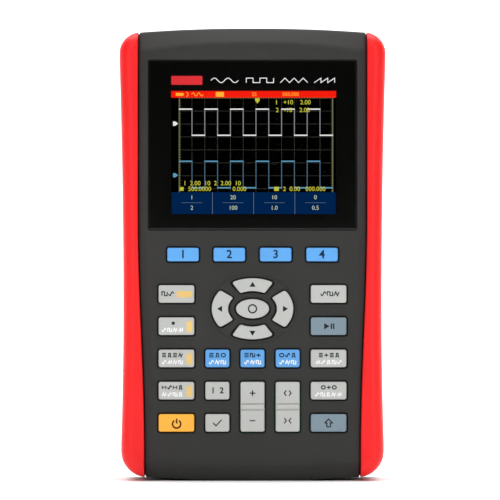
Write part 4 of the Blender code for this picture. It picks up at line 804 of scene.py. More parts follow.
# ================================================================ grips
def make_grips():
    """Each grip is half of a rounded skin over the silhouette, less the case inside it, with its inner rim
    rounded where it meets the face."""
    quarter = np.linspace(0, np.pi / 2, 12)
    edge_width, edge_depth, tail = 5.6, 6.0, 0.8
    crown = 0.35  # the crest falls this much from the rounded edge towards the face
    for side, name in ((-1, "left_grip"), (1, "right_grip")):
        rings = [at_depth(body_outline(edge_width + 4.0), FRONT_Y + crown)]
        rings += [at_depth(body_outline(edge_width + reach), FRONT_Y + crown * (reach / 4.0) ** 2)
                  for reach in (3.0, 2.0, 1.0)]
        rings += [at_depth(body_outline(edge_width * (1 - np.sin(a))), FRONT_Y + edge_depth * (1 - np.cos(a)))
                  for a in quarter]
        rings.append(at_depth(body_outline(0.0), GRIP_BACK_Y - 3.0))
        rings += [at_depth(body_outline(0.1 + tail * (1 - np.cos(a))), GRIP_BACK_Y - tail * (1 - np.sin(a)))
                  for a in quarter[::3]]
        grip = make(name + "_skin", skin(rings))
        rim = np.linspace(0, np.pi / 2, 6)
        gap = lambda grow: face_outline(-GRIP_GAP - grow, 0.0, -4.0)
        rim_rings = [at_depth(gap(0.9), FRONT_Y - 3), at_depth(gap(0.9), FRONT_Y + 0.2)]
        rim_rings += [at_depth(gap(0.9 * (1 - np.sin(a))), FRONT_Y + 0.2 + 0.9 * (1 - np.cos(a)))
                      for a in rim[1:]]
        rim_rings.append(at_depth(gap(0.0), BACK_Y))
        middle = make("between", skin(rim_rings))
        inside = make("inside", prism(body_outline(GRIP_WALL), LEDGE_Y - SEAT_GAP, BACK_Y))
        far = -side * WIDTH
        half = make("half", block(tuple(sorted((0.0, far))), (-60, 60), (-50, HEIGHT + 50)))
        carve(grip, cut(middle, inside, half))
        put(dress(grip, RED, 40), ROOT, "red_grip", name)


# ================================================================ window and display
PICTURE_SIZE = np.array((72.5, 54.1))
PICTURE_CENTRE = np.array(((PANEL_LO[0] + PANEL_HI[0]) / 2 + 0.5, (PANEL_LO[2] + PANEL_HI[2]) / 2))
PICTURE_LEFT, PICTURE_LOW = PICTURE_CENTRE - PICTURE_SIZE / 2
PICTURE_HIGH = PICTURE_CENTRE[1] + PICTURE_SIZE[1] / 2
DIVISION = 5.69
ACROSS = 5.63  # width of a division
GRATICULE_LEFT = PICTURE_LEFT + 3.5
GRATICULE_RIGHT = GRATICULE_LEFT + 12 * ACROSS
GRATICULE_HIGH = PICTURE_HIGH - 3.1
STATUS_TALL = 2.9
STATUS_SIZE = 2.3  # size of the numbers in the status bar
READING_SIZE = 2.75
MENU_SIZE = 2.6
MENU_TALL = 9.6
TRACE = 0.3  # width of a thin lit line
LAYER = 0.03  # between two layers of lit elements
LIT_COLOURS = {
    "red": (0.90, 0.012, 0.004),
    "amber": (1.0, 0.46, 0.035),
    "dim": (0.12, 0.12, 0.09),
    "olive": (0.21, 0.212, 0.10),
    "white": (0.80, 0.80, 0.80),
    "white_faint": (0.26, 0.26, 0.28),
    "cyan": (0.10, 0.31, 0.47),
    "cyan_faint": (0.07, 0.14, 0.20),
    "yellow": (0.52, 0.52, 0.045),
    "menu": (0.0, 0.016, 0.072),
    "menu_rule": (0.12, 0.17, 0.24),
    "menu_ink": (0.55, 0.60, 0.45),
}


def picture_outline(grow=0.0):
    """The lit picture's outline, drawn in or grown."""
    return rounded_rectangle(PICTURE_CENTRE, PICTURE_SIZE + 2 * grow, 0.15)


def make_window():
    """A clear pane let into a polished black border."""
    front, back = WINDOW_LO[1], WINDOW_HI[1]
    border = make("window_border", skin(edge_rings(window_outline, front, back, 0.25)))
    opening = make("picture_opening", prism(picture_outline(), front - 1, back + 1))
    carve(border, cut(opening))
    put(dress(border, BORDER, 30), ROOT, "black_glass", "display_window")
    pane = make("window_pane", prism(picture_outline(-0.03), front + 0.02, back - 0.3), CLEAR)
    put(pane, ROOT, "black_glass")


def plates(rectangles, depth, thick=0.02):
    """Thin plates from rows of (x, z, width, height): eight corners and six faces each."""
    rows = np.asarray(rectangles, float)
    sign = np.array([(-1, -1), (1, -1), (1, 1), (-1, 1)]) / 2
    flat = rows[:, None, :2] + sign[None] * rows[:, None, 2:]
    points = np.concatenate([
        np.concatenate([flat[..., :1], np.full((len(rows), 4, 1), y), flat[..., 1:]], -1)
        for y in (depth, depth + thick)
    ], 1)
    cube = np.array([(0, 1, 2, 3), (7, 6, 5, 4), (0, 4, 5, 1), (1, 5, 6, 2), (2, 6, 7, 3), (3, 7, 4, 0)])
    faces = cube[None] + 8 * np.arange(len(rows))[:, None, None]
    return points.reshape(-1, 3), faces.reshape(-1, 4)


def ribbon(path, width, depth, thick=0.02):
    """A flat line of a width, or a width at each point, along a path; its corners are mitred."""
    path = np.asarray(path, float)
    along = np.diff(path, axis=0)
    along /= np.linalg.norm(along, axis=1)[:, None]
    normal = np.stack([-along[:, 1], along[:, 0]], 1)
    joint = np.concatenate([normal[:1], normal[:-1] + normal[1:], normal[-1:]])
    joint /= np.linalg.norm(joint, axis=1)[:, None]
    reach = np.concatenate([normal, normal[-1:]])
    scale = 1 / np.maximum((joint * reach).sum(1), 0.4)
    offset = joint * (np.broadcast_to(width, len(path)) / 2 * scale)[:, None]
    outline = np.concatenate([path - offset, (path + offset)[::-1]])
    return skin([at_depth(outline, depth), at_depth(outline, depth + thick)])


def numerals(text, centre, size, depth, thick=0.02, bold=0.0):
    """Plain numbers as a mesh: triangles of the built-in font, given place and depth."""
    curve = bpy.data.curves.new("numerals", "FONT")
    curve.body = text
    curve.size = size
    curve.align_x = "CENTER"
    curve.align_y = "CENTER"
    curve.resolution_u = 4
    curve.extrude = thick / 2
    curve.offset = bold
    holder = place_in_scene("numerals", curve)
    graph = bpy.context.evaluated_depsgraph_get()
    mesh = holder.evaluated_get(graph).to_mesh()
    mesh.calc_loop_triangles()
    points = np.empty(len(mesh.vertices) * 3)
    mesh.vertices.foreach_get("co", points)
    triangles = np.empty(len(mesh.loop_triangles) * 3, int)
    mesh.loop_triangles.foreach_get("vertices", triangles)
    holder.evaluated_get(graph).to_mesh_clear()
    bpy.data.objects.remove(holder)
    points = points.reshape(-1, 3)
    placed = table(points[:, 0] + centre[0], depth + thick / 2 - points[:, 2], points[:, 1] + centre[1])
    return placed, triangles.reshape(-1, 3)


def square_wave(high, low, cycles=6):
    """High for a division and low for the next, all across the graticule."""
    edges = GRATICULE_LEFT + np.arange(2 * cycles + 1) * ACROSS
    levels = np.tile([high, low], cycles)
    levels_z = GRATICULE_HIGH - levels * DIVISION
    bars = table((edges[:-1] + edges[1:]) / 2, levels_z, ACROSS + TRACE, 0.55)
    middle = GRATICULE_HIGH - (high + low) / 2 * DIVISION
    return bars, table(edges[1:-1], middle, 0.36, (low - high) * DIVISION)


def graticule():
    """Dotted lines at every division, eight dots to a division."""
    menu_top = PICTURE_LOW + MENU_TALL
    dot = 0.2
    across = np.arange(GRATICULE_LEFT, GRATICULE_RIGHT, ACROSS / 8)
    rows = GRATICULE_HIGH - np.arange(1, 8) * DIVISION
    lines = np.meshgrid(across, rows[rows > menu_top + 0.5])
    columns = GRATICULE_LEFT + np.arange(1, 12) * ACROSS
    uprights = np.meshgrid(columns, np.arange(menu_top + 0.4, GRATICULE_HIGH, DIVISION / 8))
    return np.concatenate([table(x.ravel(), z.ravel(), dot, dot) for x, z in (lines, uprights)])


def make_display():
    """The lit picture, in layers just in front of the panel."""
    depth = PANEL_LO[1] - 0.04
    menu_top = PICTURE_LOW + MENU_TALL
    layers = {}

    def add(colour, skinned):
        """Adds a skin to the layer of a colour."""
        layers.setdefault(colour, []).append(skinned)

    def numbers(colour, text, x, z, size, layer, bold=0.0):
        """Adds plain numbers, some layers in front of the panel."""
        add(colour + "_numbers", numerals(text, (x, z), size, depth - layer * LAYER, bold=bold))

    # Status bar with its battery gauge and small marks.
    bar_z = PICTURE_HIGH - STATUS_TALL / 2
    add("red", plates([(PICTURE_CENTRE[0], bar_z, PICTURE_SIZE[0], STATUS_TALL)], depth))
    marks = [(PICTURE_LEFT + 3.6, bar_z, 3.2, 1.3), (PICTURE_LEFT + 5.4, bar_z, 0.4, 0.7)]
    marks += [(PICTURE_LEFT + 21.4, bar_z, 3.6, 2.1)]
    add("amber", plates(marks, depth - LAYER))
    wave = np.linspace(0, 1, 25)
    ripple = np.stack([PICTURE_LEFT + 9 + 5 * wave, bar_z + 0.7 * np.sin(4 * np.pi * wave)], 1)
    add("amber", ribbon(ripple, TRACE, depth - LAYER))
    bow = np.stack([
        PICTURE_LEFT + 6.6 + 0.8 * np.sin(np.pi * wave),
        bar_z - 0.9 * np.cos(np.pi * wave),
    ], 1)
    add("amber", ribbon(bow, TRACE, depth - LAYER))
    numbers("amber", "25", PICTURE_LEFT + 36.5, bar_z, STATUS_SIZE, 1)
    numbers("amber", "500.000", PICTURE_LEFT + 52.5, bar_z, STATUS_SIZE, 1)

    # Graticule: dotted lines inside, tick marks along its frame.
    add("dim", plates(graticule(), depth))
    ticks = np.arange(0, 12 * 5 + 1) * ACROSS / 5 + GRATICULE_LEFT
    add("olive", plates(table(ticks, GRATICULE_HIGH + 0.05, TRACE, 0.5), depth - LAYER))
    tall = GRATICULE_HIGH - menu_top
    sides = table((GRATICULE_LEFT, GRATICULE_RIGHT), menu_top + tall / 2, (0.26, TRACE), tall)
    add("olive", plates(sides, depth))
    steps = menu_top + 0.6 + np.arange(0, tall - 1, DIVISION / 5)
    inset = 0.3
    side_ticks = [table(x, steps, 0.9, 0.22) for x in (GRATICULE_LEFT + inset, GRATICULE_RIGHT - inset)]
    add("olive", plates(np.concatenate(side_ticks), depth))

    # Two square waves with their ground marks.
    for colour, high, low, zero in (("white", 0.85, 2.87, 1.97), ("cyan", 4.88, 6.93, 5.96)):
        bars, risers = square_wave(high, low)
        add(colour, plates(bars, depth - 2 * LAYER))
        add(colour + "_faint", plates(risers, depth - LAYER))
        ground = GRATICULE_HIGH - zero * DIVISION
        tip = GRATICULE_LEFT - 0.5
        add(colour, ribbon([(tip - 2.2, ground), (tip - 1.2, ground), (tip, ground)], (1.9, 1.9, 0.05),
                           depth - LAYER))
    trigger = PICTURE_LEFT + 37.9
    add("yellow", ribbon([(trigger, GRATICULE_HIGH), (trigger, GRATICULE_HIGH - 1.1),
                          (trigger, GRATICULE_HIGH - 2.3)], (2.0, 2.0, 0.05), depth - 2 * LAYER))

    # Readings: plain numbers.
    for x, z, text in (
        (PICTURE_LEFT + 53.5, GRATICULE_HIGH - 1.9, "1   +10    2.00"),
        (PICTURE_LEFT + 53.5, GRATICULE_HIGH - 5.3, "2   -10    2.00"),
        (PICTURE_LEFT + 18, menu_top + 3.9, "1  2.00  10  2  2.00  10"),
        (PICTURE_LEFT + 12.5, menu_top + 1.4, "500.0000"),
        (PICTURE_LEFT + 30, menu_top + 1.4, "0.000"),
        (PICTURE_LEFT + 58.5, menu_top + 1.4, "2  0.00   000.000"),
    ):
        numbers("yellow", text, x, z, READING_SIZE, 3, 0.02)
    add("yellow", plates([(PICTURE_LEFT + 4.6, menu_top + 1.5, 1.7, 1.6),
                          (PICTURE_LEFT + 46.3, menu_top + 1.5, 2.0, 1.8)], depth - 3 * LAYER))

    # Menu of four boxes, each with a value over a rule and a second value below.
    quarter = PICTURE_SIZE[0] / 4
    boxes = PICTURE_LEFT + quarter * (np.arange(4) + 0.5)
    menu_middle = PICTURE_LOW + MENU_TALL / 2
    add("menu", plates([(x, menu_middle, quarter - 0.3, MENU_TALL) for x in boxes], depth - 4 * LAYER))
    add("menu_rule", plates([(x, PICTURE_LOW + MENU_TALL * 0.52, quarter * 0.5, 0.16) for x in boxes],
                            depth - 5 * LAYER))
    add("menu_rule", plates([(x + quarter / 2, menu_middle, 0.22, MENU_TALL) for x in boxes[:3]],
                            depth - 5 * LAYER))
    for x, upper, lower in zip(boxes, ("1", "20", "10", "0"), ("2", "100", "1.0", "0.5")):
        numbers("menu_ink", upper, x, PICTURE_LOW + MENU_TALL * 0.76, MENU_SIZE, 5)
        numbers("menu_ink", lower, x, PICTURE_LOW + MENU_TALL * 0.28, MENU_SIZE, 5)

    for name, parts in layers.items():
        glow = lit("lit_" + name, LIT_COLOURS[name.replace("_numbers", "")])
        put(make("lit_" + name, stack(parts), glow, 20), ROOT, "display")


def make_title_row():
    """The strip over the picture: a plain red bar and four wave forms in fine white line, each drawn as
    (run, swing) from its left end."""
    front = WINDOW_LO[1] - 0.02
    row = PICTURE_HIGH + 4.6
    bar_piece = make("title_bar", prism(
        rounded_rectangle((PICTURE_LEFT + 6.9, row), (13.6, 3.9), 0.35), front, WINDOW_LO[1] + 0.15))
    dress(bar_piece, moulded("title_red", (0.60, 0.010, 0.016), 0.3), 30)
    put(bar_piece, ROOT, "black_glass")
    t = np.linspace(0, 1, 61)
    sine = np.stack([t * 12, np.sin(4 * np.pi * t)], 1)
    square = [(0, -1), (0, 1), (3, 1), (3, -1), (6, -1), (6, 1), (9, 1), (9, -1), (12, -1), (12, 1)]
    zigzag = [(0, -1), (2, 1), (4, -1), (6, 1), (8, -1), (10, 1), (12, -1)]
    ramp = [(0, -1), (3, 1), (3, -1), (6, 1), (6, -1), (9, 1), (9, -1)]
    parts = [
        ribbon(np.array(wave) + (PICTURE_LEFT + start, row), TRACE, front, 0.15)
        for start, wave in ((17.5, sine), (33.0, square), (48.0, zigzag), (62.8, ramp))
    ]
    waves = make("title_waves", stack(parts), PALE_INK, 30)
    put(waves, ROOT, "white_plastic")


# ================================================================ keys
def key_finish(name):
    """A key's rubber and its slot."""
    if name in SMALL_BLUE:
        return BLUE_RUBBER, "blue_key"
    if name in LABEL_BLUE:
        return SKY_RUBBER, "blue_key"
    if name in SLATE_KEYS:
        return SLATE_RUBBER, "slate_key"
    if name == "power_key":
        return ORANGE_RUBBER, "orange_key"
    return GREY_RUBBER, "grey_key"


def crown_rings(name, top):
    """A low dome over the cap: depth falls with the square of the distance in from the rim."""
    inner = min(cap_height(name) if name not in NAV_DEGREES else 5.8, 8.0) / 2 - 0.35
    insets = np.linspace(inner, KEY_EDGE, 6)[:-1]
    share = (insets - KEY_EDGE) / (inner - KEY_EDGE)
    return [
        at_depth(key_outline(name, -inset), top + KEY_CROWN * (1 - s * (2 - s)))
        for inset, s in zip(insets, share)
    ]


def make_key(name):
    """Domed cap with a rounded rim, its flange and the pill behind it."""
    lo, hi = span(name)
    top, back = lo[1], hi[1]
    flange_front, flange_back = FLANGE_Y, FLANGE_Y + FLANGE_THICK
    rings = crown_rings(name, top)
    rings += edge_rings(lambda grow: key_outline(name, grow), top + KEY_CROWN, flange_front, turns=7)
    steps = ((FLANGE, flange_front), (FLANGE, flange_back), (PILL, flange_back), (PILL, back))
    rings += [at_depth(key_outline(name, grow), y) for grow, y in steps]
    material, slot = key_finish(name)
    put(make(name + "_cap", skin(rings), material, 50), name, slot, name)


def make_rocker(name):
    """A tall cap with a rounded rim; two grooves across it leave a level band between its halves."""
    lo, hi = span(name)
    x, z = key_centre(name)
    top, band_edge, groove = lo[1], 1.27, 0.45
    flange_back = FLANGE_Y + FLANGE_THICK
    rings = edge_rings(lambda grow: key_outline(name, grow), top, flange_back)
    rings += [at_depth(key_outline(name, PILL), y) for y in (flange_back, hi[1])]
    cap = make(name + "_cap", skin(rings))
    reach = (hi[0] - lo[0]) / 2
    grooves = make("grooves", stack([
        bar("X", (top + 0.2, z + side * band_edge), groove, (x - reach, x + reach), 20) for side in (-1, 1)
    ]))
    carve(cap, cut(grooves))
    put(dress(cap, GREY_RUBBER, 50), name, "grey_key", name)


STROKE = 0.47  # width of a printed line


def arc(start, end, radius=1.0, centre=(0, 0), steps=33):
    """Points on a circle between two angles in degrees."""
    turn = np.radians(np.linspace(start, end, steps))
    return np.stack([centre[0] + radius * np.cos(turn), centre[1] + radius * np.sin(turn)], 1)


def line(*points):
    """A printed line's path, in units of half the mark's size."""
    return np.array(points, float), None


def solid(start, end, low_width, high_width):
    """A filled shape: a path whose width changes from one end to the other."""
    return np.array((start, end), float), (low_width, high_width)


def sine_path():
    """One period of a sine, two units wide and two tall."""
    t = np.linspace(-1, 1, 41)
    return np.stack([t, np.sin(np.pi * t)], 1), None


MARKS = {
    "sine": [sine_path()],
    "square": [line((-1, -1), (-1, 1), (0, 1), (0, -1), (1, -1), (1, 1))],
    "zigzag": [line((-1, -1), (-0.33, 1), (0.33, -1), (1, 1))],
    "ramp": [line((-1, -1), (0, 1), (0, -1), (1, 1), (1, -1))],
    "pulse": [line((-1, -1), (-0.4, -1), (-0.4, 1), (0.4, 1), (0.4, -1), (1, -1))],
    "dot": [solid((-0.5, 0), (0.5, 0), 1.0, 1.0)],
    "bars": [line((-1, z), (1, z)) for z in (-1, 0, 1)],
    "cursors": [line((-0.9, -1), (-0.9, 1)), line((0.9, -1), (0.9, 1)), line((-0.4, 0), (0.4, 0))],
    "cross": [line((-1, 0), (1, 0)), line((0, -1), (0, 1))],
    "minus": [line((-1, 0), (1, 0))],
    "ring": [(arc(0, 360), None)],
    "power": [(arc(125, 415), None), line((0, 0.1), (0, 1.3))],
    "check": [line((-1, 0), (-0.3, -0.8), (1, 0.9))],
    "shift": [line((-1, 0), (0, 1), (1, 0), (0.45, 0), (0.45, -1), (-0.45, -1), (-0.45, 0), (-1, 0))],
    "run": [
        solid((-1.5, 0), (0.1, 0), 1.8, 0.02),
        line((0.6, -0.8), (0.6, 0.8)),
        line((1.3, -0.8), (1.3, 0.8)),
    ],
    "wide": [line((-0.4, 0.8), (-1, 0), (-0.4, -0.8)), line((0.4, 0.8), (1, 0), (0.4, -0.8))],
    "narrow": [line((-1, 0.8), (-0.4, 0), (-1, -0.8)), line((1, 0.8), (0.4, 0), (1, -0.8))],
    "up": [solid((0, -0.7), (0, 0.9), 2.0, 0.02)],
    "down": [solid((0, 0.7), (0, -0.9), 2.0, 0.02)],
    "left": [solid((0.7, 0), (-0.9, 0), 2.0, 0.02)],
    "right": [solid((-0.7, 0), (0.9, 0), 2.0, 0.02)],
}


def print_on(key, ink, marks, suffix, stroke=STROKE):
    """Prints marks on a key's cap: rows of (mark, x, z, half size), from the cap's centre."""
    lo, _ = span(key)
    centre = key_centre(key)
    parts = []
    for mark, x, z, size in marks:
        half = np.broadcast_to(size, 2)
        for path, widths in MARKS[mark]:
            placed = path * half + (centre[0] + x, centre[1] + z)
            width = stroke if widths is None else np.array(widths) * half.min()
            parts.append(ribbon(placed, width, lo[1] - PRINT_LIFT, PRINT_SINK))
    made = make(f"{key}_{suffix}", stack(parts), ink, 30)
    put(made, key, key_finish(key)[1])


def print_number(key, text, ink, size, bold=0.0):
    """Prints plain numbers in the middle of a key's cap."""
    lo, _ = span(key)
    printed = numerals(text, key_centre(key), size, lo[1] - PRINT_LIFT, PRINT_SINK, bold)
    made = make(f"{key}_number", printed)
    weld(made, turn_faces=True)
    put(dress(made, ink, 30), key, key_finish(key)[1])


def print_patch(key, x, z, size):
    """An amber field on a key, for its second function."""
    lo, _ = span(key)
    centre = key_centre(key)
    outline = rounded_rectangle((centre[0] + x, centre[1] + z), size, 0.5)
    patch = prism(outline, lo[1] - PRINT_LIFT, lo[1] + PRINT_SINK)
    put(make(f"{key}_patch", patch, AMBER_INK, 30), key, key_finish(key)[1])


def row_of_marks(kinds, left, z, half=(0.85, 0.72), pitch=2.4):
    """Marks side by side, the first at left."""
    return [(kind, left + pitch * index, z, half) for index, kind in enumerate(kinds.split())]


def make_marks():
    """Generic marks in place of wording."""
    upper, lower = 1.45, -1.65
    big = (1.15, 0.85)
    print_on("mode_key", INK, row_of_marks("square sine", -5.2, 0.1, big, 2.9), "mark")
    print_patch("mode_key", 3.5, -0.1, (6.9, 2.8))
    print_on("acquire_key", INK, [("dot", -1.4, 1.3, 1.3)], "mark")
    print_on("acquire_key", PALE_INK, row_of_marks("sine square zigzag ramp", -5.4, lower), "pale")
    print_on("configure_key", INK, row_of_marks("bars pulse bars zigzag", -5.4, upper), "mark")
    print_on("configure_key", PALE_INK, row_of_marks("sine ramp zigzag square", -5.4, lower), "pale")
    print_on("cursor_key", INK, row_of_marks("cursors sine cursors pulse", -5.4, upper), "mark")
    print_on("cursor_key", PALE_INK, row_of_marks("zigzag sine square pulse", -5.4, lower), "pale")
    for key in ("acquire_key", "configure_key", "cursor_key"):
        print_patch(key, 5.7, -0.2, (2.5, 4.8))
    print_on("power_key", BROWN_INK, [("power", 0.1, -0.45, 1.8)], "mark", 0.75)
    print_on("auto_key", INK, row_of_marks("sine square zigzag", -2.3, 0.1, big, 2.9), "mark")
    print_on("run_stop_key", INK, [("run", 0.3, 0.0, 1.5)], "mark", 0.6)
    print_on("utility_key", INK, row_of_marks("bars cross bars pulse", -3.4, upper), "mark")
    print_on("utility_key", PALE_INK, row_of_marks("ramp sine pulse square sine", -4.8, lower), "pale")
    print_on("help_key", INK, row_of_marks("ring cross ring", -2.3, upper), "mark")
    print_on("help_key", PALE_INK, row_of_marks("sine square pulse zigzag ramp", -5.0, lower), "pale")
    print_on("shift_key", INK, [("shift", 0, 0.0, 1.7)], "mark", 0.5)
    for key, marks in zip(LABEL_BLUE, ("bars pulse ring", "bars square cross", "ring sine pulse")):
        print_on(key, NAVY_INK, row_of_marks(marks, -2.6, upper, (0.95, 0.75), 2.6), "mark")
        print_on(key, PALE_INK, row_of_marks("sine zigzag square", -2.6, lower, (0.95, 0.75), 2.6), "pale")
    print_number("channel_key", "1  2", INK, 3.6, 0.09)
    print_on("select_key", INK, [("check", 0, 0, (1.9, 1.6))], "mark", 0.5)
    for number, key in enumerate(SMALL_BLUE, 1):
        print_number(key, str(number), NAVY_INK, 5.0, 0.1)
    print_on("ok_key", INK, [("ring", 0, 0, 1.75)], "mark", 0.6)
    print_on("volts_rocker", INK, [("cross", 0, 6.0, 1.25), ("minus", 0, -6.1, 1.25)], "mark", 0.5)
    print_on("time_rocker", INK, [("wide", 0, 6.0, 1.5), ("narrow", 0, -6.1, 1.5)], "mark", 0.5)
    for key, mark in (("up_key", "up"), ("down_key", "down"), ("left_key", "left"), ("right_key", "right")):
        print_on(key, INK, [(mark, *arrow_place(key), 1.35)], "mark")


def arrow_place(key):
    """Where the ring's middle line crosses the key, from the centre of the key's box."""
    middle = math.radians(NAV_DEGREES[key][0])
    mean = (NAV_INNER + NAV_OUTER) / 2
    centre = key_centre(key)
    return mean[0] * math.cos(middle) - centre[0], NAV_Z + mean[1] * math.sin(middle) - centre[1]


# ================================================================ rear half of the case
def back_ring(y):
    """The back's outline at a depth: its insets follow a quarter ellipse to the back plane."""
    share = np.clip((y - (BACK_Y - BACK_ROUND)) / BACK_ROUND, 0, 1)
    bend = 1 - np.sqrt(1 - share**2)
    return at_depth(body_outline(BACK_SIDE_INSET[0] + BACK_SIDE_INSET[1] * bend, BACK_END_INSET * bend), y)


def stand_outline(grow=0.0):
    """The stand below its hinge's axis."""
    low, high = STAND_LO[2], STAND_HI[2] - STAND_BARREL
    width = STAND_HI[0] - STAND_LO[0] - 2 * PIN_SHOWS
    size = (width + 2 * grow, high - low + 2 * grow)
    return rounded_rectangle((0.0, (low + high) / 2), size, 6.0 + grow, 8)


def well_outline(grow=0.0):
    """The stand's well: square above, where the hinge is, and rounded below like the stand."""
    low, high = STAND_LO[2] - SLOT_GAP - grow, STAND_HI[2] + SLOT_GAP + grow
    half = (STAND_HI[0] - STAND_LO[0]) / 2 - PIN_SHOWS + SLOT_GAP + grow
    corner = 6.2 + grow
    quarter = np.linspace(0, np.pi / 2, 8)
    bend = np.stack([
        half - corner + corner * np.sin(quarter),
        low + corner - corner * np.cos(quarter),
    ], 1)
    right = np.concatenate([[(half * 0.3, low)], bend, [(half, high)], [(half * 0.3, high)]])
    return mirrored(right)


def from_behind(outline, gap, face, back, lip=LIP):
    """A flared cutter that enters from the back of the case."""
    points, faces = flared(outline, gap, -face, -back, lip)
    return points * (1, -1, 1), faces[:, ::-1]


def door_outline(grow=0.0):
    """The door's plate: the ear above it is a separate tool."""
    plate_high = DOOR_HI[2] - 2.6 - EAR_RADIUS
    centre = (0.0, (DOOR_LO[2] + plate_high) / 2)
    size = (DOOR_HI[0] - DOOR_LO[0] + 2 * grow, plate_high - DOOR_LO[2] + 2 * grow)
    return rounded_rectangle(centre, size, 2.0)


def make_rear_case():
    """The rear half: a skin of back rings joined to a lipped core, hollowed, with its pan, battery bay,
    bosses and recess walls added, and the well, seats, screw holes and side sockets cut out."""
    front = REAR_FRONT_Y
    bend = np.sin(np.linspace(0, np.pi / 2, 14))
    depths = np.concatenate([[GRIP_BACK_Y + SEAT_GAP, 10.0], BACK_Y - BACK_ROUND * (1 - bend)])
    case = make("rear_shell", skin([back_ring(y) for y in depths]))
    step = GRIP_BACK_Y + SEAT_GAP + 1
    core = make("rear_core", prism(body_outline(GRIP_WALL + SEAT_GAP), front, step))
    middle = make("rear_middle", prism(face_outline(), front, step))
    wide = GRIP_WALL + SEAT_GAP + CASE_WALL
    inner = BACK_Y - CASE_WALL
    cavity = make("rear_cavity", skin([
        at_depth(body_outline(wide, CASE_WALL), front - 5),
        at_depth(body_outline(wide, CASE_WALL + 1.2), BACK_Y - 5.5),
        at_depth(body_outline(wide + 4.4, CASE_WALL + 6), inner),
    ]))
    door_front = DOOR_LO[1]
    pan_half = STAND_HI[0] + CASE_WALL + SLOT_GAP
    low, high = STAND_LO[2] - SLOT_GAP, STAND_HI[2] + SLOT_GAP
    pan = make("pan", block((-pan_half, pan_half), (door_front, inner + 1),
                            (low - NOTCH_DROP - CASE_WALL, high + CASE_WALL)))
    battery_lo, battery_hi = span("battery_pack")
    bay_half = DOOR_HI[0] + SEAT_GAP - DOOR_RIM + BAY_WALL
    bay_inner = battery_lo[1] - SEAT_GAP
    bay = make("bay", block((-bay_half, bay_half), (bay_inner - BAY_FLOOR, door_front + 1),
                            (battery_lo[2] - SEAT_GAP - BAY_WALL, battery_hi[2] + SEAT_GAP + BAY_WALL)))
    bosses = make("bosses", stack([
        bar("Y", place, BOSS_RADIUS, (front, inner + 1)) for place in screw_places()
    ]))
    sections = [(front, SKIN_OVERLAP), (BACK_Y - 5.5, SKIN_OVERLAP), (inner + 1, 6.0)]
    laths = make("rear_laths", stack([recess_wall(side, sections) for side in (-1, 1)]))

    well = make("well", from_behind(well_outline, 0.0, BACK_Y, WELL_FLOOR_Y))
    notch_centre = (0.0, low - NOTCH_DROP / 2 + 2)
    notch_size = np.array((NOTCH_WIDTH, NOTCH_DROP + 4))
    notch = make("notch", from_behind(
        lambda grow: rounded_rectangle(notch_centre, notch_size + 2 * grow, 4.0),
        0.0, BACK_Y, BACK_Y - NOTCH_DEPTH))
    hinge = (STAND_LO[1] + STAND_BARREL, STAND_HI[2] - STAND_BARREL)
    pin_ends = (STAND_LO[0] - SEAT_GAP, STAND_HI[0] + SEAT_GAP)
    bore = make("hinge_bore", bar("X", hinge, PIN_RADIUS + SEAT_GAP, pin_ends))
    seat = make("door_seat", prism(door_outline(SEAT_GAP), door_front - SEAT_GAP, BACK_Y))
    ear_z = DOOR_HI[2] - EAR_RADIUS
    ear = make("ear_seat", bar("Y", (0, ear_z), EAR_RADIUS + SEAT_GAP, (door_front - SEAT_GAP, BACK_Y)))
    space_half = battery_hi[0] + SEAT_GAP
    space = make("bay_space", block((-space_half, space_half), (bay_inner, BACK_Y),
                                    (battery_lo[2] - SEAT_GAP, battery_hi[2] + SEAT_GAP)))
    shanks = make("shanks", stack([
        bar("Y", place, SHANK_RADIUS + SEAT_GAP, (front - 5, BACK_Y + 5)) for place in screw_places()
    ]))
    screw_lo, screw_hi = span(SCREW_NAMES[0])
    head_radius = (screw_hi[0] - screw_lo[0]) / 2 + HEAD_GAP
    head_floor = BACK_Y - SCREW_SINK - HEAD_THICK - SEAT_GAP
    heads = make("heads", stack([
        from_behind(lambda grow, place=place: oval(place, (head_radius + grow,) * 2, 48),
                    0.0, BACK_Y, head_floor)
        for place in screw_places()
    ]))
    cover = make("cover_seat", block(
        (COVER_LO[0] - SEAT_GAP, WIDTH), (COVER_LO[1] - SLOT_GAP, COVER_HI[1] + SLOT_GAP),
        (COVER_LO[2] - 3.0, COVER_HI[2] + SLOT_GAP), 0.8))
    jack_lo, jack_hi = span("dc_jack")
    usb_lo, usb_hi = span("usb_socket")
    port_y = (COVER_LO[1] + COVER_HI[1]) / 2 - 0.1
    dc = make("dc_hole", bar("X", (port_y, (jack_lo[2] + jack_hi[2]) / 2), 4.1, (jack_lo[0] + 8, WIDTH)))
    usb = make("usb_hole", block(
        (usb_lo[0] + 3, WIDTH), (port_y - 2.6, port_y + 2.6), (usb_lo[2] - SEAT_GAP, usb_hi[2] + SEAT_GAP)))
    recess = recess_tool("rear_space", HOOD_BACK_Y)
    groove = groove_tool("rear_groove", HOOD_BACK_Y, inner + PANEL_GROOVE)
    carve(case, [
        *joined(core, middle), *cut(cavity), *joined(pan, bay, bosses, laths),
        *cut(well, notch, bore, seat, ear, space, shanks, heads, cover, dc, usb, recess, groove),
    ])
    put(dress(case, REAR, 30), ROOT, "dark_case", "rear_case")


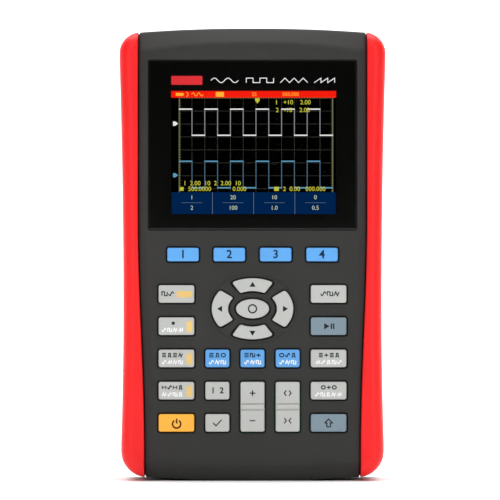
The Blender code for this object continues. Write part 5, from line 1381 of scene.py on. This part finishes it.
def make_stand():
    """A flat frame with rounded rims, a round barrel with pins, and finger grooves in its lower bar."""
    front, back = STAND_LO[1], STAND_HI[1]
    stand = make("stand_frame", skin(edge_rings(stand_outline, back, front, 0.8, 0.5)))
    high = STAND_HI[2] - STAND_BARREL
    hinge = (front + STAND_BARREL, high)
    reach = STAND_HI[0]
    half = reach - PIN_SHOWS
    upper = make("stand_head", block((-half, half), (front, back), (high - 12, high), 0.3))
    barrel = make("barrel", bar("X", hinge, STAND_BARREL, (-half, half)))
    pins = make("pins", bar("X", hinge, PIN_RADIUS, (-reach, reach)))
    inner_centre = (0.0, (STAND_LO[2] + high) / 2 - 1.0)
    inner_size = np.array((2 * half, high - STAND_LO[2])) - 2 * STAND_FRAME
    opening = make("opening", from_behind(
        lambda grow: rounded_rectangle(inner_centre, inner_size + 2 * grow, 4.0 + grow, 8),
        0.0, back, front - 2, 0.6))
    grooves = make("grooves", stack([
        bar("X", (back + 0.35, STAND_LO[2] + 2.6 + 1.7 * index), 0.8, (-12, 12), 20) for index in range(4)
    ]))
    carve(stand, joined(upper, barrel, pins) + cut(opening, grooves))
    put(dress(stand, REAR, 35), "tilt_stand", "dark_case", "tilt_stand")


def make_door():
    """The battery door: rounded rims, a screw ear and five finger grooves."""
    front, back = DOOR_LO[1], DOOR_HI[1]
    door = make("door_plate", skin(edge_rings(door_outline, back, front, 0.3, 0.1)))
    ear_z = DOOR_HI[2] - EAR_RADIUS
    ear = make("ear", bar("Y", (0, ear_z), EAR_RADIUS, (front, back - 0.02), 48))
    hole = make("hole", bar("Y", (0, ear_z), 1.5, (0, 60)))
    sink = make("sink", bar("Y", (0, ear_z), 2.6, (back - 1.5, 60), 48))
    grooves = make("door_grooves", stack([
        bar("X", (back + 0.3, 93.0 - 2.6 * index), 1.0, (-14, 14), 24) for index in range(5)
    ]))
    carve(door, joined(ear) + cut(hole, sink, grooves))
    put(dress(door, REAR, 30), ROOT, "dark_case", "battery_door")


def make_screws():
    """Pan heads with a cross recess: a turned profile, its rim a quarter circle, less two crossed slots."""
    for name in (*SCREW_NAMES, "battery_door_screw"):
        lo, hi = span(name)
        centre = key_centre(name)
        head = (hi[0] - lo[0]) / 2
        thick, shank = (HEAD_THICK, SHANK_RADIUS) if name in SCREW_NAMES else (1.2, 1.2)
        length = hi[1] - lo[1]
        quarter = np.linspace(0, np.pi / 2, 6)
        rim = 0.6
        dome = np.stack([head - rim * (1 - np.sin(quarter)), -rim + rim * np.cos(quarter)], 1)
        profile = np.concatenate([
            [(0, 0)], dome, [(head, -thick), (shank, -thick), (shank, -length + 0.6)],
            [(shank * 0.6, -length), (0, -length)],
        ])
        screw = make(name + "_turned", turned(profile, (centre[0], hi[1], centre[1]), "Y", 40))
        arm, half_slot = head * 0.62, 0.3
        carve(screw, cut(*(
            make(f"slot_{across:g}", block(
                (centre[0] - across, centre[0] + across), (hi[1] - SLOT_DEPTH, hi[1] + 1),
                (centre[1] - upright, centre[1] + upright)))
            for across, upright in ((arm, half_slot), (half_slot, arm))
        )))
        put(dress(screw, STEEL, 35), ROOT, "screw_steel", name)


# ================================================================ inputs in the recess
INPUTS = (1, 2)
BARREL_RADIUS = 4.85
BARREL_BORE = 4.1
SHOULDER_RADIUS = 7.4
SHOULDER_TALL = 2.2
THREAD_RADIUS = 6.2
THREAD_DEPTH = 0.22
THREAD_STEP = 0.4  # height of half a thread
THREAD_LOW = -9.0


def input_axis(number):
    """Where an input's axis stands: the middle of its shell's box seen from above."""
    lo, hi = span(f"input_{number}_shell")
    return (lo[0] + hi[0]) / 2, (lo[1] + hi[1]) / 2


def make_inputs():
    """Each input is three turned profiles, drawn as (radius, height above the panel): a nickel shell with
    a threaded foot and two lugs, a sleeve inside it and a contact with a hollow tip in the sleeve."""
    seat = FLOOR_HI[2] + SEAT_GAP
    rim = np.linspace(0, np.pi / 2, 5)
    for number in INPUTS:
        x, y = input_axis(number)
        shell_high = span(f"input_{number}_shell")[1][2]
        top = shell_high - seat
        outer = np.concatenate([
            np.stack([BARREL_RADIUS - 0.35 * (1 - np.sin(rim)), top - 0.35 * (1 - np.cos(rim))], 1),
            [(BARREL_RADIUS, top - 6.6), (BARREL_RADIUS - 0.35, top - 6.9)],
            [(BARREL_RADIUS - 0.35, top - 7.6), (BARREL_RADIUS, top - 7.9), (BARREL_RADIUS, SHOULDER_TALL)],
            np.stack([SHOULDER_RADIUS - 0.5 * (1 - np.sin(rim)), SHOULDER_TALL - 0.5 * (1 - np.cos(rim))], 1),
            [(SHOULDER_RADIUS, 0.0), (THREAD_RADIUS, 0.0)],
        ])
        ridges = np.arange(0, 22)
        threads = np.stack([THREAD_RADIUS - THREAD_DEPTH * (ridges % 2), -THREAD_STEP * (ridges + 0.5)], 1)
        inner = [(THREAD_RADIUS, THREAD_LOW), (BARREL_BORE, THREAD_LOW), (BARREL_BORE, top - 0.4),
                 (BARREL_BORE + 0.3, top)]
        profile = np.concatenate([outer, threads, inner])
        shell = make(f"input_{number}_barrel", turned(profile, (x, y, seat), "Z", 64))
        lugs = []
        for side in (-1, 1):
            ends = sorted((x + side * (BARREL_RADIUS - 0.4), x + side * (BARREL_RADIUS + 1.25)))
            lugs.append(make(f"lug_{side}", bar("X", (y, shell_high - 4.0), 1.0, ends, 24)))
        carve(shell, joined(*lugs))
        put(dress(shell, NICKEL, 32), ROOT, "nickel", f"input_{number}_shell")

        nose, core, hole = 2.4, 3.8, 0.95
        foot, tip = (corner[2] - seat for corner in span(f"input_{number}_insulator"))
        sleeve = [
            (nose - 0.2, tip), (nose, tip - 0.2), (nose, 1.7), (core, 1.7), (core, foot), (hole, foot),
            (hole, tip - 0.5), (1.3, tip),
        ]
        insulator = make(f"input_{number}_sleeve", turned(sleeve, (x, y, seat), "Z", 48), INSULATOR, 32)
        put(insulator, ROOT, "dielectric", f"input_{number}_insulator")

        pin, cup = 0.65, 0.42
        foot, tip = (corner[2] - seat for corner in span(f"input_{number}_contact"))
        tube = [
            (0.0, tip - 3.0), (cup, tip - 3.0), (cup, tip), (pin - 0.03, tip - 0.05), (pin, tip - 0.15),
            (pin, foot), (0.0, foot),
        ]
        contact = make(f"input_{number}_pin", turned(tube, (x, y, seat), "Z", 24), GOLD, 32)
        put(contact, ROOT, "gold_contact", f"input_{number}_contact")


def make_recess_floor():
    """The panel under the inputs, with a hole for each and plain channel numbers."""
    half = FLOOR_HI[0]
    plate = make("recess_floor", block((-half, half), (FLOOR_LO[1], FLOOR_HI[1]), (FLOOR_LO[2], FLOOR_HI[2])))
    holes, parts = [], []
    for number in INPUTS:
        x, y = input_axis(number)
        hole = bar("Z", (x, y), THREAD_RADIUS + SEAT_GAP, (FLOOR_LO[2] - 3, HEIGHT), 48)
        holes.append(make(f"hole_{number}", hole))
        points, faces = numerals(str(number), (0, 0), 5.0, 0.0)
        behind = span(f"input_{number}_shell")[1][1] + 4.2
        placed = np.stack([points[:, 0] + x, points[:, 2] + behind, FLOOR_HI[2] + 0.03 - points[:, 1]], 1)
        parts.append((placed, faces))
    carve(plate, cut(*holes))
    put(dress(plate, BLACK_PLASTIC, 30), ROOT, "black_plastic", "connector_panel")
    numbers = make("channel_numbers", stack(parts), PALE_INK, 30)
    put(numbers, ROOT, "white_plastic")


# ================================================================ side sockets
def make_cover():
    """The rubber cover: a strap, rounded along its edges and above, with a row of grip grooves below."""
    lo, hi = COVER_LO, COVER_HI
    radius = (hi[0] - lo[0]) / 2
    quarter = np.linspace(0, np.pi, 9)
    top = np.stack([lo[0] + radius + radius * np.cos(quarter), hi[2] - radius + radius * np.sin(quarter)], 1)
    foot = np.linspace(0, np.pi / 2, 5)
    low_outer = np.stack([hi[0] - 0.5 * (1 - np.sin(foot)), lo[2] + 0.5 * (1 - np.cos(foot))], 1)
    outline = np.concatenate([low_outer, top, [(lo[0], lo[2])]])
    count = len(outline)

    def ring(y, shrink):
        """The strap's side outline at one y, its outer face drawn in at the two long edges."""
        drawn = outline.copy()
        drawn[:, 0] = lo[0] + (drawn[:, 0] - lo[0]) * (1 - shrink)
        return at_depth(drawn, y)

    edge = np.linspace(0, np.pi / 2, 5)
    rings = [ring(lo[1] + 0.5 * (1 - np.cos(a)), 0.3 * (1 - np.sin(a))) for a in edge]
    rings += [ring(hi[1] - 0.5 * (1 - np.cos(a)), 0.3 * (1 - np.sin(a))) for a in edge[::-1]]
    if count % 2:
        rings = [np.concatenate([r, (r[-1:] + r[:1]) / 2]) for r in rings]
    strap = make("cover_strap", skin(rings))
    grooves = make("cover_grooves", stack([
        bar("Y", (hi[0] + 0.25, lo[2] + 2.2 + 1.3 * index), 0.55, (lo[1] + 1.2, hi[1] - 1.2), 16)
        for index in range(4)
    ]))
    carve(strap, cut(grooves))
    put(dress(strap, BLACK_RUBBER, 40), "port_cover", "black_rubber", "port_cover")


# ================================================================ pieces kept from the CAD
def finish_kept_nodes():
    """Materials for the pieces that keep their CAD mesh."""
    kept = {
        "keypad_mat": MAT_GREY, "key_board": BOARD, "main_board": BOARD, "power_board": BOARD,
        "shield_can": TIN, "buzzer": BLACK_PLASTIC, "display_holder": WHITE_PLASTIC, "battery_pack": WRAP,
        "input_1_nut": NICKEL, "input_2_nut": NICKEL, "dc_jack": BLACK_PLASTIC, "usb_socket": TIN,
        "display_panel": PANEL_OFF,
    }
    for node, material in kept.items():
        mesh = bpy.data.objects[node].data
        mesh.materials.clear()
        mesh.materials.append(material)


# ================================================================ studio
def make_stage():
    """A floor that curves up into a backdrop: level, a quarter circle, then upright. It is seen only from
    its upper side, so that the object can be looked at from behind."""
    near, far, radius, wide, tall = -5000.0, 500.0, 420.0, 9000.0, 1500.0
    turn = np.linspace(0, np.pi / 2, 40)
    path = np.concatenate([
        [(near, 0.0)],
        np.stack([far + radius * np.sin(turn), radius * (1 - np.cos(turn))], 1),
        [(far + radius, tall)],
    ])
    sides = np.array([-wide / 2, wide / 2])
    points = np.stack([
        np.repeat(sides, len(path)), np.tile(path[:, 0], 2), np.tile(path[:, 1], 2)
    ], 1)
    step = np.arange(len(path) - 1)
    faces = np.stack([step, step + len(path), step + len(path) + 1, step + 1], 1)
    sweep = make("studio_sweep", (points, faces))
    material = moulded("studio_paper", (0.90, 0.90, 0.90), 0.9, grain=60, relief=0.01, tint=0.004,
                       specular=0.0)
    nodes, links = material.node_tree.nodes, material.node_tree.links
    through = nodes.new("ShaderNodeMixShader")
    links.new(nodes.new("ShaderNodeNewGeometry").outputs["Backfacing"], through.inputs["Fac"])
    links.new(nodes["Principled BSDF"].outputs["BSDF"], through.inputs[1])
    links.new(nodes.new("ShaderNodeBsdfTransparent").outputs["BSDF"], through.inputs[2])
    links.new(through.outputs["Shader"], nodes["Material Output"].inputs["Surface"])
    dress(sweep, material, 60)


def area_light(name, place, target, size, power):
    """A rectangular soft light at a place, aimed at a target."""
    light = bpy.data.lights.new(name, "AREA")
    light.shape = "RECTANGLE"
    light.size, light.size_y = size
    light.energy = power
    holder = place_in_scene(name, light)
    holder.location = place
    holder.rotation_euler = (Vector(target) - Vector(place)).to_track_quat("-Z", "Y").to_euler()


def make_lights():
    """Soft light from above, both sides and the front, with a dark patch behind the camera so that the
    polished window stays black."""
    middle = (0, 0, 0.1)
    sky = bpy.data.lights.new("overhead_soft", "SUN")
    sky.energy = 1.6
    sky.angle = math.radians(70)
    overhead = place_in_scene("overhead_soft", sky)
    overhead.rotation_euler = (math.radians(14), 0, 0)
    area_light("left_soft", (-0.80, -1.25, 0.45), middle, (0.4, 1.2), 3.3)
    area_light("right_soft", (0.80, -1.25, 0.45), middle, (0.4, 1.2), 3.9)
    area_light("front_high", (0.0, -1.3, 0.70), middle, (1.1, 0.3), 2.4)
    area_light("backdrop_wash", (0.0, 0.25, 1.5), (0, 0.9, 0.1), (2.0, 0.8), 26)
    world = bpy.data.worlds.new("studio_world")
    bpy.context.scene.world = world
    world.use_nodes = True
    nodes, links = world.node_tree.nodes, world.node_tree.links
    background = preset(nodes["Background"], {"Strength": 0.16})
    direction = nodes.new("ShaderNodeTexCoord")
    apart = nodes.new("ShaderNodeVectorMath")
    apart.operation = "DOT_PRODUCT"
    apart.inputs[1].default_value = (0, -1, 0)
    links.new(direction.outputs["Generated"], apart.inputs[0])
    patch = between(nodes, links, apart.outputs["Value"], (1, 1, 1), (0.02, 0.02, 0.02), 0.86, 0.95)
    links.new(patch, background.inputs["Color"])


def make_camera():
    """A long lens, level, straight at the face; the frame is 219.4 mm tall at the object."""
    distance, frame_tall, sensor = 2.4, 0.2194, 36.0
    camera = bpy.data.cameras.new("camera")
    camera.sensor_width = sensor
    camera.lens = sensor * distance / frame_tall
    camera.clip_end = 50
    holder = place_in_scene("camera", camera)
    holder.location = (-0.0011, FRONT_Y * MM - distance, 0.1015)
    holder.rotation_euler = (math.pi / 2, 0, 0)
    bpy.context.scene.camera = holder
    bpy.context.scene.view_settings.view_transform = "Standard"


make_camera()
make_front_case()
make_grips()
make_window()
make_display()
make_title_row()
for key in (*RECT_KEYS, "ok_key", *NAV_DEGREES):
    make_key(key)
for key in ROCKERS:
    make_rocker(key)
make_marks()
make_rear_case()
make_stand()
make_door()
make_screws()
make_inputs()
make_recess_floor()
make_cover()
finish_kept_nodes()
make_stage()
make_lights()
